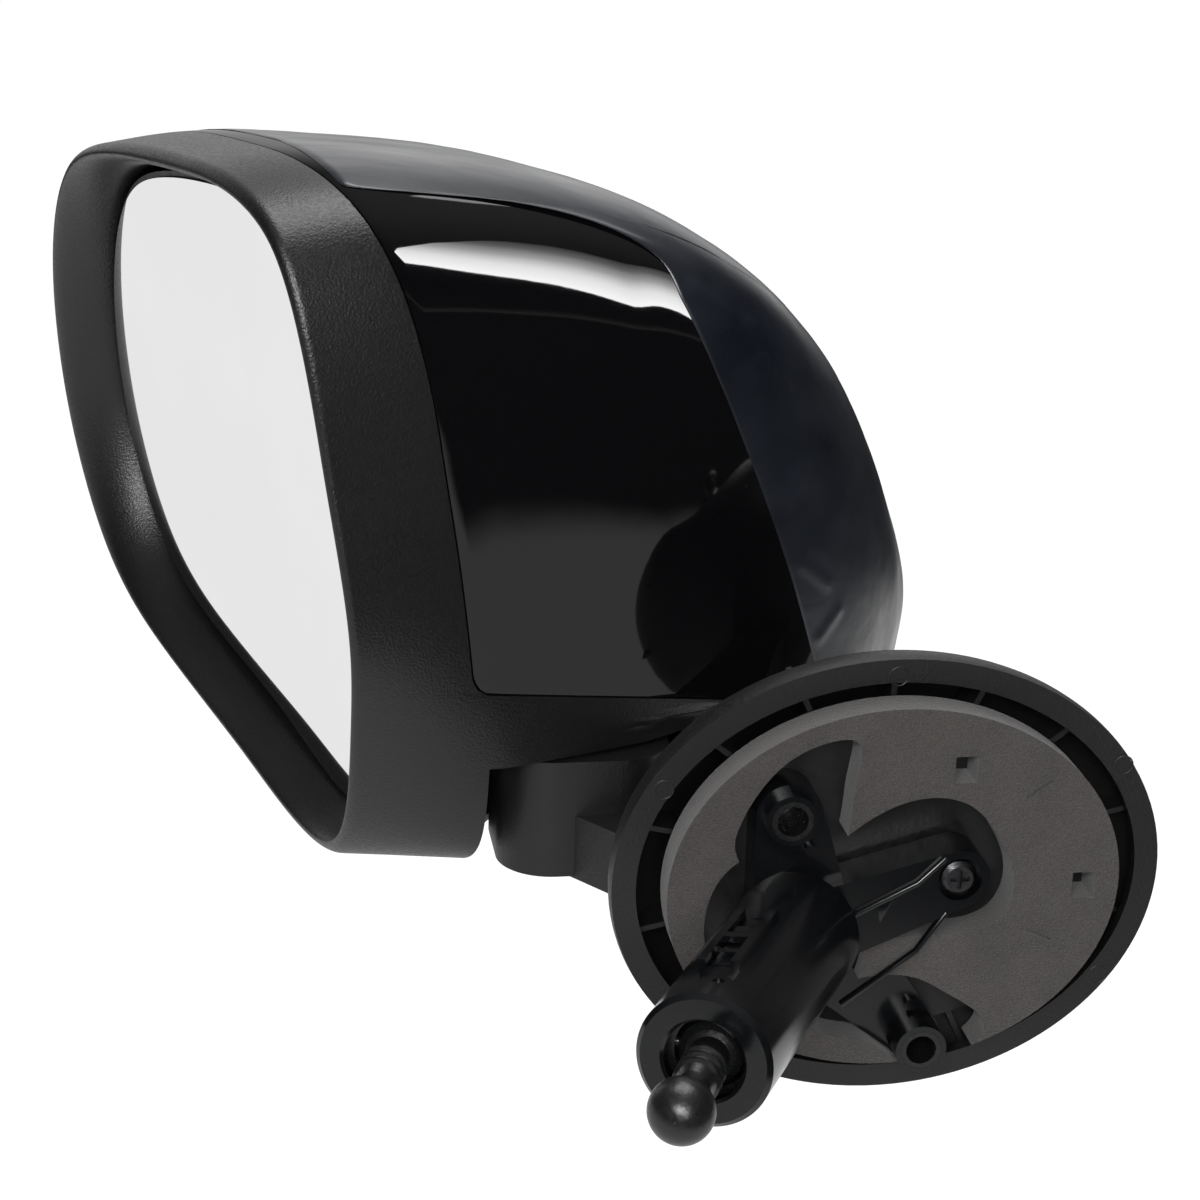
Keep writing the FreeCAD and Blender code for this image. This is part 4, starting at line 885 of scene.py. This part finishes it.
def makeFloor():
    bm = bmesh.new()
    level = cadBox[0][2] - studio["floorBelow"]
    bmesh.ops.create_grid(bm, x_segments=8, y_segments=8, size=studio["floorSize"] / 2,
                          matrix=Matrix.Translation((0, 0, level)))
    floor = bareObject("floor", bm)
    material = bpy.data.materials.new("paleFloor")
    material.use_nodes = True
    tree = material.node_tree
    shader = tree.nodes["Principled BSDF"]
    shader.inputs["Base Color"].default_value = colour(0.86)
    shader.inputs["Roughness"].default_value = 0.9
    shader.inputs["Specular IOR Level"].default_value = 0.1
    path = tree.nodes.new("ShaderNodeLightPath")
    where = tree.nodes.new("ShaderNodeTexCoord")
    away = tree.nodes.new("ShaderNodeVectorMath")
    away.operation = "DISTANCE"
    away.inputs[1].default_value = (*studio["sheetMiddle"], level)
    fade = tree.nodes.new("ShaderNodeMapRange")
    fade.interpolation_type = "SMOOTHSTEP"
    fade.inputs["From Min"].default_value = studio["sheetReach"]
    fade.inputs["From Max"].default_value = studio["sheetReach"] + studio["sheetFade"]
    tone = tree.nodes.new("ShaderNodeMix")
    tone.data_type = "RGBA"
    tone.inputs[6].default_value = colour(studio["sheetGlow"])
    tone.inputs[7].default_value = colour(studio["roomGlow"])
    tree.links.new(where.outputs["Object"], away.inputs[0])
    tree.links.new(away.outputs["Value"], fade.inputs["Value"])
    tree.links.new(fade.outputs[0], tone.inputs[0])
    # rays that mirror the floor see the sheet, and rays that see the floor get an even white
    mirrored = tree.nodes.new("ShaderNodeEmission")
    tree.links.new(tone.outputs[2], mirrored.inputs["Color"])
    seen = tree.nodes.new("ShaderNodeEmission")
    seen.inputs["Strength"].default_value = studio["glowSeen"]
    share = tree.nodes.new("ShaderNodeMath")
    share.operation = "MULTIPLY"
    share.inputs[1].default_value = studio["glowShare"]
    tree.links.new(path.outputs["Is Camera Ray"], share.inputs[0])
    last = shader.outputs[0]
    for factor, emission in ((path.outputs["Is Glossy Ray"], mirrored), (share.outputs[0], seen)):
        mix = tree.nodes.new("ShaderNodeMixShader")
        tree.links.new(factor, mix.inputs[0])
        tree.links.new(last, mix.inputs[1])
        tree.links.new(emission.outputs[0], mix.inputs[2])
        last = mix.outputs[0]
    tree.links.new(last, tree.nodes["Material Output"].inputs["Surface"])
    floor.data.materials.append(material)


def makeWorld():
    world = bpy.data.worlds.new("studio")
    bpy.context.scene.world = world
    world.use_nodes = True
    tree = world.node_tree
    background = tree.nodes["Background"]
    where = tree.nodes.new("ShaderNodeTexCoord")
    split = tree.nodes.new("ShaderNodeSeparateXYZ")
    level = tree.nodes.new("ShaderNodeMapRange")
    level.inputs["From Min"].default_value = -1.0
    side = tree.nodes.new("ShaderNodeMapRange")
    side.inputs["From Min"].default_value = studio["farFrom"]
    side.inputs["From Max"].default_value = studio["farTo"]
    tree.links.new(where.outputs["Generated"], split.inputs[0])
    tree.links.new(split.outputs["Z"], level.inputs["Value"])
    tree.links.new(split.outputs["X"], side.inputs["Value"])
    ramps = []
    for stops in (studio["nearStops"], studio["farStops"]):
        ramp = tree.nodes.new("ShaderNodeValToRGB")
        setStops(ramp.color_ramp, stops)
        tree.links.new(level.outputs[0], ramp.inputs["Fac"])
        ramps.append(ramp)
    path = tree.nodes.new("ShaderNodeLightPath")
    sides = tree.nodes.new("ShaderNodeMix")
    sides.data_type = "RGBA"
    seen = tree.nodes.new("ShaderNodeMix")
    seen.data_type = "RGBA"
    seen.inputs[7].default_value = (1, 1, 1, 1)
    tree.links.new(side.outputs[0], sides.inputs[0])
    tree.links.new(ramps[0].outputs["Color"], sides.inputs[6])
    tree.links.new(ramps[1].outputs["Color"], sides.inputs[7])
    tree.links.new(path.outputs["Is Camera Ray"], seen.inputs[0])
    tree.links.new(sides.outputs[2], seen.inputs[6])
    tree.links.new(seen.outputs[2], background.inputs["Color"])


def makeKeyPanel():
    wide, tall = studio["keySize"]
    roll = Matrix.Rotation(math.radians(studio["keyRoll"]), 3, "X")
    along = roll @ Vector((0, 1, 0))
    up = roll @ Vector((0, 0, 1))
    middle = Vector(studio["keyMiddle"])
    bm = bmesh.new()
    bm.faces.new([bm.verts.new(middle + along * wide / 2 * a + up * tall / 2 * b)
                  for a, b in ((-1, -1), (-1, 1), (1, 1), (1, -1))])
    panel = bareObject("keyPanel", bm)
    panel.visible_camera = False
    material = bpy.data.materials.new("keyGlow")
    material.use_nodes = True
    tree = material.node_tree
    shader = tree.nodes["Principled BSDF"]
    shader.inputs["Base Color"].default_value = colour(0.0)
    shader.inputs["Specular IOR Level"].default_value = 0.0
    shader.inputs["Emission Strength"].default_value = studio["keyGlow"]
    where = tree.nodes.new("ShaderNodeTexCoord")
    height = tree.nodes.new("ShaderNodeVectorMath")
    height.operation = "DOT_PRODUCT"
    height.inputs[1].default_value = up
    share = tree.nodes.new("ShaderNodeMapRange")
    share.inputs["From Min"].default_value = middle.dot(up) - tall / 2
    share.inputs["From Max"].default_value = middle.dot(up) + tall / 2
    ramp = tree.nodes.new("ShaderNodeValToRGB")
    setStops(ramp.color_ramp, studio["keyStops"])
    tree.links.new(where.outputs["Object"], height.inputs[0])
    tree.links.new(height.outputs["Value"], share.inputs["Value"])
    tree.links.new(share.outputs[0], ramp.inputs["Fac"])
    tree.links.new(ramp.outputs["Color"], shader.inputs["Emission Color"])
    panel.data.materials.append(material)


def areaLight(name, place, size, power, target):
    data = bpy.data.lights.new(name, "AREA")
    data.shape = "RECTANGLE"
    data.size, data.size_y = size
    data.energy = power
    lamp = bpy.data.objects.new(name, data)
    lamp.location = place
    lamp.rotation_euler = (Vector(target) - Vector(place)).to_track_quat("-Z", "Y").to_euler()
    bpy.context.scene.collection.objects.link(lamp)
    return lamp


def makeCamera():
    data = bpy.data.cameras.new("camera")
    data.lens = camera["lens"]
    data.sensor_width = 36.0
    data.clip_start = 0.01
    viewer = bpy.data.objects.new("camera", data)
    right = Vector(camera["right"])
    up = Vector(camera["up"])
    viewer.matrix_world = Matrix((right, up, right.cross(up))).transposed().to_4x4()
    viewer.location = camera["place"]
    bpy.context.scene.collection.objects.link(viewer)
    bpy.context.scene.camera = viewer


makeFloor()
makeWorld()
makeKeyPanel()
headTarget = rimPoint(0, 0, 70)
areaLight("top", studio["topPlace"], studio["topSize"], studio["topPower"], headTarget)
makeCamera()
bpy.context.scene.view_settings.view_transform = "Standard"
print("studio made")
